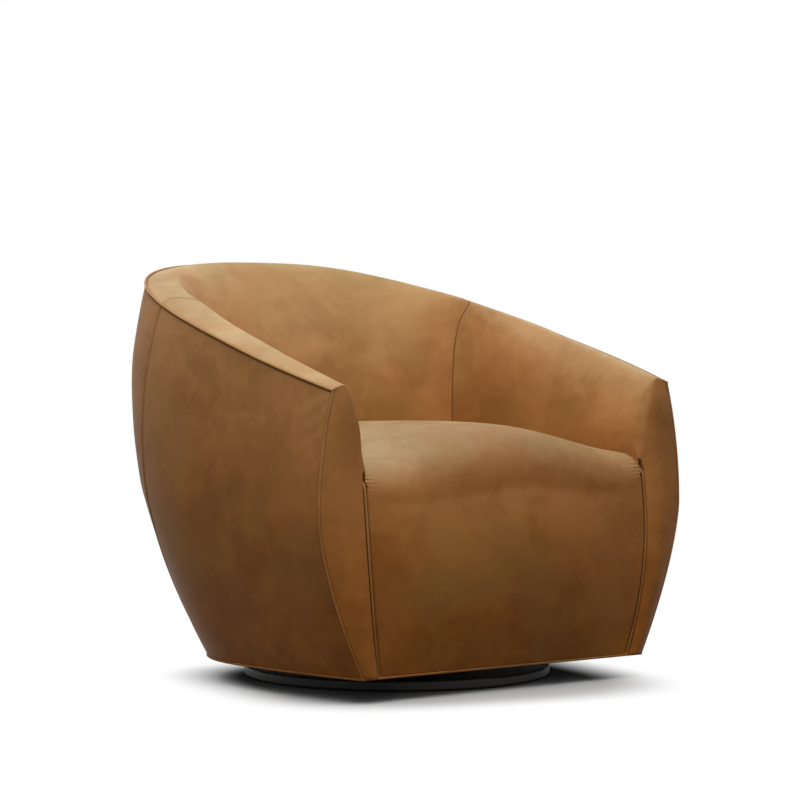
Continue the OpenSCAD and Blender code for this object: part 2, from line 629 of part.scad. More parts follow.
module top_rail() {
    rail_room = 1;
    outer = [for (a = ring_stations) flat(place(a, edge_r(a) - liner_in - rail_room, 0))];
    inner = [for (a = ring_stations) flat(place(a, roll_r(a) + padding_at(a) + rail_room, 0))];
    n = len(ring_stations);
    color(plywood) intersection() {
        translate([0, 0, edge_mid_z / 2]) linear_extrude(edge_mid_z)
            polygon(concat(outer, [for (i = [n - 1 : -1 : 0]) inner[i]]));
        tilted_slab(-rail_drop - rail_t, rail_t);
    }
}
module front_board() {
    post_room = 60;
    w = front_bottom_half_w - post_room;
    color(plywood) translate([-w, frame_y, ring_top])
        cube([2 * w, front_board_t, seat_ring_z - ply_t - ring_top]);
}
module lower_post_front_left() lower_post(-post_front);
module lower_post_front_right() lower_post(post_front);
module lower_post_side_left() lower_post(-post_side);
module lower_post_side_right() lower_post(post_side);
module lower_post_back_left() lower_post(-post_back);
module lower_post_back_right() lower_post(post_back);
module upper_post_front_left() upper_post(-post_front);
module upper_post_front_right() upper_post(post_front);
module upper_post_side_left() upper_post(-post_side);
module upper_post_side_right() upper_post(post_side);
module upper_post_back_left() upper_post(-post_back);
module upper_post_back_right() upper_post(post_back);
// Webbing: straps between the seat ring's sides, and over them straps across
strap_pitch = 130;
cross_pitch = 140;
cross_y = -190;
webbing = [0.33, 0.26, 0.19];
module webbing_lengthwise() {
    color(webbing) translate([0, 0, seat_ring_z]) linear_extrude(strap_t) intersection() {
        behind_front(inner_outline(seat_gap), gap);
        for (i = [-1.5 : 1 : 1.5])
            translate([i * strap_pitch - strap_w / 2, frame_y]) square([strap_w, rear_depth]);
    }
}
module webbing_crosswise() {
    color(webbing) translate([0, 0, seat_ring_z + strap_t]) linear_extrude(strap_t) intersection() {
        polygon(inner_outline(seat_gap));
        for (i = [0 : 2])
            translate([-rear_depth, cross_y + i * cross_pitch - strap_w / 2])
                square([2 * rear_depth, strap_w]);
    }
}

// Upholstery
module seat_foam() {
    color(foam) slab([for (v = seat_rows) [for (u = seat_cols) seat_under(u, v)]],
                     [for (v = seat_rows) [for (u = seat_cols) seat_foam_point(u, v)]]);
}
module seat_cover() {
    color(leather) slab([for (v = seat_rows) [for (u = seat_cols) seat_point(u, v, leather_t)]],
                        [for (v = seat_rows) [for (u = seat_cols) seat_point(u, v, 0)]]);
}
module arm_foam_left() color(foam) padding(padding_list(-1));
module arm_foam_right() color(foam) padding(padding_list(1));
module back_foam() color(foam) padding(back_stations);
module inner_arm_cover_left() color(leather) inner_cover(arm_list(-1, inner_short));
module inner_arm_cover_right() color(leather) inner_cover(arm_list(1, inner_short));
module inner_back_cover() color(leather) inner_cover(back_stations);
foam_room = welt_room + 2;
module arm_front_foam_left() color(foam) arm_front_layer(-1, foam_room, cover_in, true);
module arm_front_foam_right() color(foam) arm_front_layer(1, foam_room, cover_in, true);
module arm_front_cover_left() color(leather) arm_front_layer(-1, welt_room, leather_t, false);
module arm_front_cover_right() color(leather) arm_front_layer(1, welt_room, leather_t, false);
module outer_liner_left() color(board) outer_layer(padding_list(-1), cover_in, liner_t, liner_last);
module outer_liner_right() color(board) outer_layer(padding_list(1), cover_in, liner_t, liner_last);
module outer_liner_back() color(board) outer_layer(back_stations, cover_in, liner_t, liner_last);
module outer_side_cover_left() color(leather) outer_layer(arm_list(-1, welt_room), 0, leather_t, 1);
module outer_side_cover_right() color(leather) outer_layer(arm_list(1, welt_room), 0, leather_t, 1);
module outer_back_cover() color(leather) outer_layer(back_stations, 0, leather_t, 1);

// Welts
welt_stations = concat(at_side(side_stations, -1), back_stations, side_stations);
welt_low = cover_low + welt_r;          // the upright welts end clear of the level ones
welt_short = welt_d + 1;
module welt(path, up, closed = false) {
    color(welt_leather) tube(path, welt_r, up, closed);
}
module top_welt() {
    welt([for (a = welt_stations) place(a, edge_r(a) - gap, edge_z(a) - gap)], [0, 0, 1]);
}
module rear_welt(a) {
    welt([for (z = steps(welt_low, edge_z(a) - welt_short, 12)) place(a, outer_r(a, z), z)],
         [ray_at(a)[0], ray_at(a)[1], 0]);
}
module rear_welt_left() rear_welt(-seam_angle);
module rear_welt_right() rear_welt(seam_angle);
module front_welt(side) {
    welt([for (z = steps(welt_low, tip_edge_z - welt_short, 14)) [side * front_w(z), front_y, z]],
         [0, 1, 0]);
}
module front_welt_left() front_welt(-1);
module front_welt_right() front_welt(1);
module seat_welt(side) {
    welt([for (z = steps(welt_low, seat_side_z - welt_short, 12))
          [side * seat_w(z), front_y - seam_bulge(z), z]], [0, 1, 0]);
}
module seat_welt_left() seat_welt(-1);
module seat_welt_right() seat_welt(1);
module bottom_welt() {
    z = bottom_z + welt_r;
    w = front_w(z) * 0.8;
    welt(concat([for (a = welt_stations) place(a, outer_r(a, z), z)],
                [for (x = steps(w, -w, 6)) [x, front_y, z]]), [0, 0, 1], closed = true);
}

floor_pad();
plinth_disc();
swivel_lower_plate();
swivel_balls();
swivel_pivot();
plinth_screws();
swivel_upper_plate();
rail_screws();
mount_rail_left();
mount_rail_right();
dust_cover();
bottom_ring();
seat_ring();
top_rail();
front_board();
lower_post_front_left();
lower_post_front_right();
lower_post_side_left();
lower_post_side_right();
lower_post_back_left();
lower_post_back_right();
upper_post_front_left();
upper_post_front_right();
upper_post_side_left();
upper_post_side_right();
upper_post_back_left();
upper_post_back_right();
webbing_lengthwise();
webbing_crosswise();
seat_foam();
seat_cover();
arm_foam_left();
arm_foam_right();
back_foam();
inner_arm_cover_left();
inner_arm_cover_right();
inner_back_cover();
arm_front_foam_left();
arm_front_foam_right();
arm_front_cover_left();
arm_front_cover_right();
outer_liner_left();
outer_liner_right();
outer_liner_back();
outer_side_cover_left();
outer_side_cover_right();
outer_back_cover();
top_welt();
rear_welt_left();
rear_welt_right();
front_welt_left();
front_welt_right();
seat_welt_left();
seat_welt_right();
bottom_welt();
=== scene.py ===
"""Looks of the swivel armchair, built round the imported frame, in metres."""
import math

import bpy
import numpy as np
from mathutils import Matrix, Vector, kdtree, noise


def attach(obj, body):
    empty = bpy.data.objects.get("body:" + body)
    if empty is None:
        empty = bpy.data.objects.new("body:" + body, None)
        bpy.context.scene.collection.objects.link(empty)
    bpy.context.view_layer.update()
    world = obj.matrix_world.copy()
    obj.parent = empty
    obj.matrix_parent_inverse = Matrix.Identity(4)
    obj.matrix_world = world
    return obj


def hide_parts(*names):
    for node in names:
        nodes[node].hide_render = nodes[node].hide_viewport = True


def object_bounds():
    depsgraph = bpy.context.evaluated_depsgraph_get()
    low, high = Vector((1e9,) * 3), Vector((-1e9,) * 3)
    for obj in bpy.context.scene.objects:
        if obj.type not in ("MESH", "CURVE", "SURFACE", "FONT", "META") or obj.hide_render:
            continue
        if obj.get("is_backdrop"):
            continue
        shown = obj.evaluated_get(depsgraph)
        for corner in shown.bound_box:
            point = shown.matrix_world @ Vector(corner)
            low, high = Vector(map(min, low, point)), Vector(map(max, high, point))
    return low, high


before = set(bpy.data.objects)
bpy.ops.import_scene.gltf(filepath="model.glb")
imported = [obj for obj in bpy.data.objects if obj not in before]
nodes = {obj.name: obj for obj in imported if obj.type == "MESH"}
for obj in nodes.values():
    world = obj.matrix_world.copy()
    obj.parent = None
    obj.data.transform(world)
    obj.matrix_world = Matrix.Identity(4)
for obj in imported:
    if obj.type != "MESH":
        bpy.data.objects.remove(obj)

cad_low, cad_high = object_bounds()
scene = bpy.context.scene


# Camera: a long lens at the height of the back's edge, from the chair's front left. It was
# fitted to the edges and seams of the photograph.
VIEW_TURN = -38.0               # degrees from straight in front
VIEW_DISTANCE = 5.568
VIEW_HEIGHT = 0.6787
VIEW_TILT = 1.90                # degrees down
VIEW_LENS = 139.3
VIEW_SHIFT = 0.0039
camera_data = bpy.data.cameras.new("camera")
camera = bpy.data.objects.new("camera", camera_data)
scene.collection.objects.link(camera)
scene.camera = camera
camera_data.sensor_width = 36.0
camera_data.lens = VIEW_LENS
camera_data.shift_x = VIEW_SHIFT
camera_data.clip_end = 60.0
turn = math.radians(VIEW_TURN)
camera.location = (VIEW_DISTANCE * math.sin(turn), -VIEW_DISTANCE * math.cos(turn), VIEW_HEIGHT)
camera.rotation_euler = (math.radians(90 - VIEW_TILT), 0, turn)


# Studio: a plain white floor and a white surround, lit by three wide soft lamps overhead and two
# smaller ones from the left. The floor turns into the white surround round the chair's shadow.
class Value:
    """Output of a shader node, so that maths on it is written as it is read."""

    def __init__(self, recipe, socket):
        self.recipe, self.socket = recipe, socket

    def _maths(self, operation, first, second):
        return self.recipe.node("ShaderNodeMath", {"operation": operation}, {0: first, 1: second})

    def __add__(self, other):
        return self._maths("ADD", self, other)

    def __radd__(self, other):
        return self._maths("ADD", other, self)

    def __sub__(self, other):
        return self._maths("SUBTRACT", self, other)

    def __rsub__(self, other):
        return self._maths("SUBTRACT", other, self)

    def __mul__(self, other):
        return self._maths("MULTIPLY", self, other)

    def __rmul__(self, other):
        return self._maths("MULTIPLY", other, self)

    def __pow__(self, other):
        return self._maths("POWER", self, other)

    def limit(self, low, high):
        return self._maths("MINIMUM", self._maths("MAXIMUM", self, low), high)


class Recipe:
    """One material, or the world, under construction."""

    def __init__(self, owner):
        self.owner = owner
        owner.use_nodes = True
        self.tree = owner.node_tree
        self.tree.nodes.clear()

    def node(self, kind, settings=None, inputs=None, output=0):
        made = self.tree.nodes.new(kind)
        for name, value in (settings or {}).items():
            setattr(made, name, value)
        for name, value in (inputs or {}).items():
            if isinstance(value, Value):
                self.tree.links.new(value.socket, made.inputs[name])
            else:
                made.inputs[name].default_value = value
        return Value(self, made.outputs[output])

    def mix(self, share, first, second, blend="MIX"):
        """Mix of two colours, by the colour sockets of a Mix node."""
        made = self.tree.nodes.new("ShaderNodeMix")
        made.data_type, made.blend_type = "RGBA", blend
        for index, value in ((0, share), (6, first), (7, second)):
            if isinstance(value, Value):
                self.tree.links.new(value.socket, made.inputs[index])
            else:
                made.inputs[index].default_value = value if index == 0 else (*value, 1)
        return Value(self, made.outputs[2])

    def spots(self, place, scale, detail=2.0, rough=0.5, warp=0.0):
        """Soft noise round 0.5."""
        inputs = {"Vector": place, "Scale": scale, "Detail": detail, "Roughness": rough,
                  "Distortion": warp}
        return self.node("ShaderNodeTexNoise", {}, inputs)

    def bump(self, height, distance, normal=None):
        inputs = {"Height": height, "Distance": distance, "Strength": 1.0}
        if normal:
            inputs["Normal"] = normal
        return self.node("ShaderNodeBump", {}, inputs)

    def looked_at(self):
        """1 for rays that show the surround itself: to the camera, off gloss, through glass."""
        camera_ray, glossy, passed = (
            self.node("ShaderNodeLightPath", output=name)
            for name in ("Is Camera Ray", "Is Glossy Ray", "Is Transmission Ray"))
        return (camera_ray + glossy + passed).limit(0, 1)

    def finish(self, shader, kind="ShaderNodeOutputMaterial"):
        out = self.tree.nodes.new(kind)
        self.tree.links.new(shader.socket, out.inputs["Surface"])
        return self.owner

    def surface(self, inputs):
        """Closes a material with one Principled surface."""
        return self.finish(self.node("ShaderNodeBsdfPrincipled", {}, inputs))


FLOOR_SIZE = 16.0
SHADOW_PLACE, SHADOW_HALF, SHADOW_TURN = (-0.023, -0.091), (0.438, 0.423), -12.5
SHADOW_SQUARENESS = 3.2         # 2 is an ellipse
SHADOW_FADE = 0.657             # share of that half size from which the shadow fades out
FLOOR_GAIN = 0.57               # how pale the floor is to the camera within that shape
FLOOR_BOUNCE = 0.15             # and how pale to the light that it throws back on the chair
WHITE = (1, 1, 1, 1)
bpy.ops.object.select_all(action="DESELECT")
bpy.ops.mesh.primitive_plane_add(size=FLOOR_SIZE, location=(0, 0, 0))
floor = bpy.context.object
floor.name = "studio_floor"
floor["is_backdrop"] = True
paint = Recipe(bpy.data.materials.new("studio_floor"))
seen = paint.looked_at()
spot = paint.node("ShaderNodeMapping", {"vector_type": "TEXTURE"},
                  {"Vector": paint.node("ShaderNodeTexCoord", output="Object"),
                   "Location": (*SHADOW_PLACE, 0), "Scale": (*SHADOW_HALF, 1),
                   "Rotation": (0, 0, math.radians(SHADOW_TURN))})
x, y = (paint.node("ShaderNodeSeparateXYZ", {}, {"Vector": spot}, output=way) for way in "XY")
reach = ((x * x) ** (SHADOW_SQUARENESS / 2)
         + (y * y) ** (SHADOW_SQUARENESS / 2)) ** (1 / SHADOW_SQUARENESS)
beyond = paint.node("ShaderNodeMapRange", {"interpolation_type": "SMOOTHSTEP"},
                    {"Value": reach, "From Min": SHADOW_FADE, "From Max": 1.0})
plain = paint.node("ShaderNodeBsdfDiffuse", {}, {"Color": (FLOOR_BOUNCE,) * 3 + (1,)})
lifted = paint.node("ShaderNodeBsdfDiffuse", {}, {"Color": (FLOOR_GAIN,) * 3 + (1,)})
white = paint.node("ShaderNodeEmission", {}, {"Color": WHITE, "Strength": 1.0})
camera_floor = paint.node("ShaderNodeMixShader", {}, {0: beyond, 1: lifted, 2: white})
floor.data.materials.append(paint.finish(
    paint.node("ShaderNodeMixShader", {}, {0: seen, 1: plain, 2: camera_floor})))

WORLD_LIGHT = 0.05
scene.world = scene.world or bpy.data.worlds.new("studio")
sky = Recipe(scene.world)
seen = sky.looked_at()
soft = sky.node("ShaderNodeBackground", {}, {"Color": WHITE, "Strength": WORLD_LIGHT})
bright = sky.node("ShaderNodeBackground", {}, {"Color": WHITE, "Strength": 1.0})
sky.finish(sky.node("ShaderNodeMixShader", {}, {0: seen, 1: soft, 2: bright}),
           "ShaderNodeOutputWorld")

LAMPS_AIM = Vector((0, 0, 0.4))


def soft_light(name, place, size, power):
    data = bpy.data.lights.new(name, "AREA")
    data.shape, data.size, data.size_y, data.energy = "RECTANGLE", size[0], size[1], power
    lamp = bpy.data.objects.new(name, data)
    scene.collection.objects.link(lamp)
    lamp.location = place
    lamp.rotation_euler = (LAMPS_AIM - Vector(place)).to_track_quat("-Z", "Y").to_euler()


for name, place, size, power in (
        ("overhead", (-0.3, 0.0, 3.0), (3.0, 2.4), 60),
        ("overhead_front", (-0.3, -1.6, 2.8), (2.5, 2.0), 45),
        ("overhead_rear", (-0.6, 1.8, 3.0), (2.0, 1.6), 20),
        ("upper_left", (-2.2, -0.4, 2.8), (1.8, 1.8), 19),
        ("front_left", (-2.6, -3.0, 1.5), (1.8, 1.8), 20)):
    soft_light(name, place, size, power)

scene.view_settings.view_transform = "Standard"
scene.render.film_transparent = False


# Plinth: a round board with a rounded rim in black satin lacquer, on a felt pad, with a ball
# bearing swivel of two painted steel plates screwed to it and to the frame's rails.
def dress(names, material):
    for name in names:
        mesh = nodes[name].data
        mesh.materials.clear()
        mesh.materials.append(material)


def start_material(name):
    recipe = Recipe(bpy.data.materials.new(name))
    return recipe, recipe.node("ShaderNodeTexCoord", output="Object")


def lacquer():
    recipe, place = start_material("black_lacquer")
    cloud = recipe.spots(place, 9.0, 3.0)
    scuff = recipe.spots(place, 160.0, 4.0, 0.7)
    dust = recipe.spots(place, 900.0, 1.0)
    return recipe.surface({
        "Base Color": recipe.mix(cloud, (0.016, 0.014, 0.012), (0.030, 0.026, 0.022)),
        "Roughness": 0.34 + scuff * 0.16 + cloud * 0.06,
        "Specular IOR Level": 0.3,
        "Normal": recipe.bump(scuff * 0.7 + dust * 0.3, 0.00006)})


def felt():
    recipe, place = start_material("pressed_felt")
    fibres = recipe.spots(place, 1400.0, 3.0, 0.8, 1.2)
    cloud = recipe.spots(place, 30.0, 2.0)
    shade = fibres * 0.7 + cloud * 0.3
    return recipe.surface({
        "Base Color": recipe.mix(shade, (0.025, 0.025, 0.028), (0.085, 0.083, 0.085)),
        "Roughness": 0.95,
        "Normal": recipe.bump(fibres, 0.0004)})


def metal(name, dark, light, metallic, rough):
    recipe, place = start_material(name)
    cloud = recipe.spots(place, 25.0, 3.0)
    brushed = recipe.node("ShaderNodeMapping", {}, {"Vector": place, "Scale": (1.0, 14.0, 14.0)})
    lines = recipe.spots(brushed, 120.0, 3.0, 0.6)
    return recipe.surface({
        "Base Color": recipe.mix(cloud * 0.6 + lines * 0.4, dark, light),
        "Metallic": metallic,
        "Roughness": rough + lines * 0.18,
        "Normal": recipe.bump(lines, 0.00005)})


dress(["plinth_disc"], lacquer())
dress(["floor_pad"], felt())
dress(["swivel_lower_plate", "swivel_upper_plate"],
      metal("swivel_paint", (0.035, 0.035, 0.038), (0.07, 0.07, 0.075), 0.3, 0.42))
dress(["swivel_balls", "swivel_pivot", "plinth_screws", "rail_screws"],
      metal("zinc", (0.55, 0.56, 0.58), (0.75, 0.76, 0.78), 1.0, 0.22))


# Frame: plywood rings and top rail, planed timber posts and rails, glued and screwed. It is all
# closed in by the upholstery and stays as the solids give it.
def timber(name, pale, dark, along, ring_scale):
    recipe, place = start_material(name)
    stretched = recipe.node("ShaderNodeMapping", {}, {"Vector": place, "Scale": along})
    rings = recipe.node("ShaderNodeTexWave", {"wave_type": "BANDS", "bands_direction": "X"},
                        {"Vector": stretched, "Scale": ring_scale, "Distortion": 5.0,
                         "Detail": 3.0, "Detail Scale": 1.6})
    fibre = recipe.spots(stretched, 260.0, 4.0, 0.7)
    return recipe.surface({
        "Base Color": recipe.mix(rings * 0.6 + fibre * 0.4, pale, dark),
        "Roughness": 0.6 + fibre * 0.15,
        "Normal": recipe.bump(rings * 0.4 + fibre * 0.6, 0.0003)})


plywood = timber("plywood", (0.62, 0.45, 0.27), (0.42, 0.27, 0.14), (1.0, 1.0, 8.0), 12.0)
planed = timber("planed_timber", (0.58, 0.40, 0.22), (0.40, 0.25, 0.12), (5.0, 5.0, 0.5), 9.0)
dress([n for n in nodes if n.endswith("_ring")] + ["top_rail", "front_board"], plywood)
dress([n for n in nodes if "_post_" in n or n.startswith("mount_rail")], planed)


# Liner: thin grey-brown upholstery board bent round the frame and stapled to it, which keeps the
# outer leather taut. It is closed in and stays as the solids give it.
def board():
    recipe, place = start_material("fibre_board")
    fibres = recipe.spots(place, 500.0, 4.0, 0.7, 0.6)
    cloud = recipe.spots(place, 12.0, 2.0)
    shade = fibres * 0.5 + cloud * 0.5
    return recipe.surface({
        "Base Color": recipe.mix(shade, (0.24, 0.17, 0.11), (0.40, 0.31, 0.21)),
        "Roughness": 0.85,
        "Normal": recipe.bump(fibres, 0.0002)})


dress([n for n in nodes if n.startswith("outer_liner")], board())


# Seat deck and underside: elastic webbing woven under the seat foam, and a black dust cover
# stapled under the frame.
def woven(name, dark, light, pitch):
    recipe, place = start_material(name)
    warp, weft = (recipe.node("ShaderNodeTexWave", {"wave_type": "BANDS", "bands_direction": way},
                              {"Vector": place, "Scale": math.pi / 10 / pitch, "Distortion": 0.6})
                  for way in ("X", "Y"))
    fuzz = recipe.spots(place, 900.0, 3.0, 0.7)
    threads = warp * 0.4 + weft * 0.4 + fuzz * 0.2
    return recipe.surface({
        "Base Color": recipe.mix(threads, dark, light),
        "Roughness": 0.8 + fuzz * 0.15,
        "Normal": recipe.bump(threads, 0.0003)})


dress(["webbing_lengthwise", "webbing_crosswise"],
      woven("elastic_webbing", (0.16, 0.13, 0.10), (0.42, 0.36, 0.28), 0.0024))
dress(["dust_cover"],
      woven("dust_cover_cloth", (0.010, 0.010, 0.011), (0.030, 0.030, 0.032), 0.0012))


# Outer leather: three panels pulled taut over the liner, two sides and the back, each turned in
# at its seams. The body's outline is round in plan, swells at mid height and draws in below.
AXIS_Y = 0.014
FRONT_Y = -0.308
BOTTOM_Z = 0.040
HEM_Z = 0.0422                  # middle of the welt along the bottom edge
EDGE_Z, EDGE_SLOPE = 0.6065, 0.265      # the top edge's height at y = 0 and its rise to the back
ARM_END = 150.0                 # stations: 0 straight back, 90 beside the axis, 150 the front
ARM_UNITS = 60.0
SEAM_AT = 59.5                  # station of the upright seams at the back
SQUARENESS = (2.05, 2.73)       # of the plan, at the bottom and SQUARE_RISE above; 2 is an ellipse
SQUARE_RISE = 0.300
FRONT_SHARE_MOST = 0.9995       # the front stays a trace narrower than the sides
FOOT_OUTER = 0.312              # half width of the front at the bottom


def mix(first, second, share):
    return first + (second - first) * share


def ease(share):
    share = np.clip(share, 0, 1)
    return share * share * (3 - 2 * share)


def swell(z, most, low, high, most_z, high_z, power):
    """Size that is most at most_z and high at high_z, and draws in to low at the bottom."""
    below = np.clip((most_z - z) / (most_z - BOTTOM_Z), 0, None) ** power
    above = ((z - most_z) / (high_z - most_z)) ** 2
    return np.where(z < most_z, most - (most - low) * below, most - (most - high) * above)


def side_width(z):
    return swell(z, most=0.413, low=0.348, high=0.368, most_z=0.390, high_z=0.680, power=2.2)


def front_width(z):
    return swell(z, most=0.404, low=FOOT_OUTER, high=0.376, most_z=0.312, high_z=0.520, power=1.5)


def rear_reach(z):
    return swell(z, most=0.504, low=0.301, high=0.504, most_z=0.572, high_z=0.680, power=1.3)


def squareness(z):
    return mix(*SQUARENESS, np.clip((z - BOTTOM_Z) / SQUARE_RISE, 0, 1))


def arm_share(a):
    return np.clip((np.abs(a) - 90) / ARM_UNITS, 0, 1)


def place_at(a, r, z):
    """Point at a distance r along the ray of station a."""
    round_back = np.abs(a) <= 90
    across = np.where(round_back, np.sin(np.radians(a)), np.sign(a))
    back = np.where(round_back, np.cos(np.radians(a)), 0)
    y = mix(AXIS_Y, FRONT_Y, arm_share(a)) + back * r
    return np.stack([across * r, y, z + 0 * r], axis=-1)


def round_reach(a, width, depth, power):
    turned = np.radians(np.clip(np.abs(a), 0, 90))
    return ((np.sin(turned) / width) ** power + (np.cos(turned) / depth) ** power) ** (-1 / power)


def outer_reach(a, z):
    power, width = squareness(z), side_width(z)
    curved = round_reach(a, width, rear_reach(z) - AXIS_Y, power)
    fit = np.minimum(front_width(z) / width, FRONT_SHARE_MOST) ** power
    along = (1 - arm_share(a) ** power * (1 - fit)) ** (1 / power)
    return np.where(np.abs(a) <= 90, curved, width * along)


def edge_height(a):
    """Height of the top edge seam: each round starts from the height that the last one gave."""
    z = np.full(np.shape(a), EDGE_Z)
    for _ in range(12):
        z = EDGE_Z + EDGE_SLOPE * place_at(a, outer_reach(a, z), z)[..., 1]
    return z


PITCH = 0.017                   # of a sheet's grid before it is subdivided
CURVE_SAMPLES = 800
MERGE_WITHIN = 0.0002


def steps(curve, low, high, fine=(0.0025, 0.006, 0.011), closeup=None):
    """Parameters a pitch apart along a curve, closer at its ends and at a place of small folds."""
    dense = np.linspace(low, high, CURVE_SAMPLES)
    points = curve(dense)
    run = np.concatenate([[0], np.cumsum(np.linalg.norm(np.diff(points, axis=0), axis=1))])
    ends = np.array(fine)
    count = max(int(round((run[-1] - 2 * ends[-1]) / PITCH)), 2)
    at = np.concatenate([[0], ends[:-1], np.linspace(ends[-1], run[-1] - ends[-1], count + 1),
                         (run[-1] - ends[:-1])[::-1], [run[-1]]])
    if closeup:
        first, last, small = closeup
        at = np.concatenate([at[at < first], np.arange(first, last, small), at[at >= last]])
    return np.interp(at, run, dense)


def take(*pieces):
    """Selects these pieces alone and makes the first one active."""
    bpy.ops.object.select_all(action="DESELECT")
    for piece in pieces:
        piece.select_set(True)
    bpy.context.view_layer.objects.active = pieces[0]


def read_points(piece, what="co"):
    flat = np.empty(len(piece.data.vertices) * 3)
    piece.data.vertices.foreach_get(what, flat)
    return flat.reshape(-1, 3)


def write_points(piece, points):
    piece.data.vertices.foreach_set("co", points.ravel())


def edge_ends(piece):
    ends = np.empty(len(piece.data.edges) * 2, int)
    piece.data.edges.foreach_get("vertices", ends)
    return ends.reshape(-1, 2)


def sheet(name, grids):
    """Soft sheet: grid primitives whose points take the given places, joined where they meet."""
    parts = []
    for grid in grids:
        rows, cols = grid.shape[:2]
        bpy.ops.object.select_all(action="DESELECT")
        bpy.ops.mesh.primitive_grid_add(x_subdivisions=cols - 1, y_subdivisions=rows - 1, size=1)
        part = bpy.context.object
        flat = read_points(part)
        i = np.rint((flat[:, 0] + 0.5) * (cols - 1)).astype(int)
        j = np.rint((flat[:, 1] + 0.5) * (rows - 1)).astype(int)
        write_points(part, grid[j, i])
        parts.append(part)
    take(*parts)
    if len(parts) > 1:
        bpy.ops.object.join()
    bpy.ops.object.mode_set(mode="EDIT")
    bpy.ops.mesh.select_all(action="SELECT")
    bpy.ops.mesh.remove_doubles(threshold=MERGE_WITHIN)
    bpy.ops.object.mode_set(mode="OBJECT")
    piece = bpy.context.object
    piece.name = piece.data.name = name
    return piece


def apply_modifier(piece, kind, **settings):
    take(piece)
    modifier = piece.modifiers.new(kind.lower(), kind)
    for setting, value in settings.items():
        setattr(modifier, setting, value)
    bpy.ops.object.modifier_apply(modifier=modifier.name)


FULL_SHADE_FROM = 0.0022              # a groove this deep gets the full painted shade
EDGE_SPOTS = 8                  # places along each bit of a seam to which distances are taken


def grooves(piece, seams, inside=()):
    """Each point's distance to its nearest seam, its groove's depth there, and its painted shade.

    Open edges take the groove of the seam they lie along; seams inside the sheet are added."""
    points = read_points(piece)
    sides = np.empty(len(piece.data.loops), int)
    piece.data.loops.foreach_get("edge_index", sides)
    ends = edge_ends(piece)
    ends = ends[np.bincount(sides, minlength=len(ends)) == 1]
    middle = points[ends].mean(axis=1)
    apart = np.stack([np.linalg.norm(middle[:, None] - line[None], axis=2).min(axis=1)
                      for line, _, _ in seams])
    groove = np.array([seam[1:] for seam in seams])[apart.argmin(axis=0)]
    pieces = [(points[ends[:, 0]], points[ends[:, 1]], groove)]
    pieces += [(line[:-1], line[1:], np.tile((depth, width), (len(line) - 1, 1)))
               for line, depth, width in inside]
    share = np.linspace(0, 1, EDGE_SPOTS + 1)[:-1]
    spots = np.concatenate([(low + (high - low) * k) for low, high, _ in pieces for k in share])
    profile = np.concatenate([kind for _, _, kind in pieces for _ in share])
    tree = kdtree.KDTree(len(spots))
    for index, spot in enumerate(spots):
        tree.insert(spot, index)
    tree.balance()
    found = np.array([tree.find(point)[1:] for point in points])
    near = found[:, 1]
    depth, width = profile[found[:, 0].astype(int)].T
    closed = np.exp(-(near / width) ** 2)
    return near, depth * closed, np.minimum(depth / FULL_SHADE_FROM, 1) * closed


def ripples(points, scale, seed):
    """Smooth noise from -1 to 1 at every point."""
    shift = Vector((seed * 3.7, seed * 1.3, seed * 2.1))
    return np.array([noise.noise(Vector(point) * scale + shift) for point in points])


def mark(piece, name, values):
    made = piece.data.attributes.new(name, "FLOAT", "POINT")
    made.data.foreach_set("value", np.asarray(values, np.float32))


# Painted sheen: paler colour towards the top and on faces that look up, where lamps light most.
SHEEN_AT_TOP, SHEEN_FROM, SHEEN_RISE = 0.22, 0.1, 0.5    # painted sheen at the top, and where it sets in
SHEEN_UP = 0.78                  # further painted sheen on what faces straight up
PANEL_WAVES, PAD_WAVES = 0.0012, 0.0016             # how uneven the leather lies
WAVE_SCALE, SMALL_SCALE, SMALL_SHARE = 4.5, 15.0, 0.35
LOOSE_WITHIN = 0.03             # distance from a seam over which it comes free
WALL_FROM, WALL_OVER = 0.02, 0.04       # distances from a seam between which the wall thickens
THIN_WALL = 0.0016
CREASE_ANGLE = math.radians(55)


def sheen_by_height(z):
    """Painted sheen by height alone: little below, more towards the top."""
    return SHEEN_AT_TOP * ease((z - SHEEN_FROM) / SHEEN_RISE)


def upholster(piece, material, seams, thickness, waves, seed, inside=(), folds=None):
    """Smooths a sheet, turns it in at its seams, lets it lie a little uneven and closes it.

    The wall behind it is thin at the seams and has its full thickness between them."""
    apply_modifier(piece, "SUBSURF", levels=2, render_levels=2)
    points, out = read_points(piece), read_points(piece, "normal")
    near, depth, sewn = grooves(piece, seams, inside)
    loose = 1 - np.exp(-near / LOOSE_WITHIN)
    uneven = ripples(points, WAVE_SCALE, seed) + SMALL_SHARE * ripples(points, SMALL_SCALE, seed)
    lift = waves * loose * uneven - depth
    if folds:
        lift += folds(points, near)
    points += out * lift[:, None]
    write_points(piece, points)
    # The seam mark is painted shade: colour darkened in proportion to the groove's depth.
    mark(piece, "seam", sewn)
    # The stretched mark is painted sheen: paler colour by height and on faces that look up.
    upward = np.clip(out[:, 2], 0, 1) ** 1.5
    mark(piece, "stretched", sheen_by_height(points[:, 2]) + SHEEN_UP * upward)
    wall = piece.vertex_groups.new(name="wall")
    thin = THIN_WALL / thickness
    share = thin + (1 - thin) * np.clip((near - WALL_FROM) / WALL_OVER, 0, 1)
    for index, weight in enumerate(share):
        wall.add([index], float(weight), "REPLACE")
    apply_modifier(piece, "SOLIDIFY", thickness=thickness, offset=-1, vertex_group="wall")
    piece.vertex_groups.clear()
    bpy.ops.object.shade_smooth_by_angle(angle=CREASE_ANGLE)
    piece.data.materials.clear()
    piece.data.materials.append(material)


DYE = ((0.268, 0.091, 0.016), (0.380, 0.136, 0.027))            # darker and paler clouds
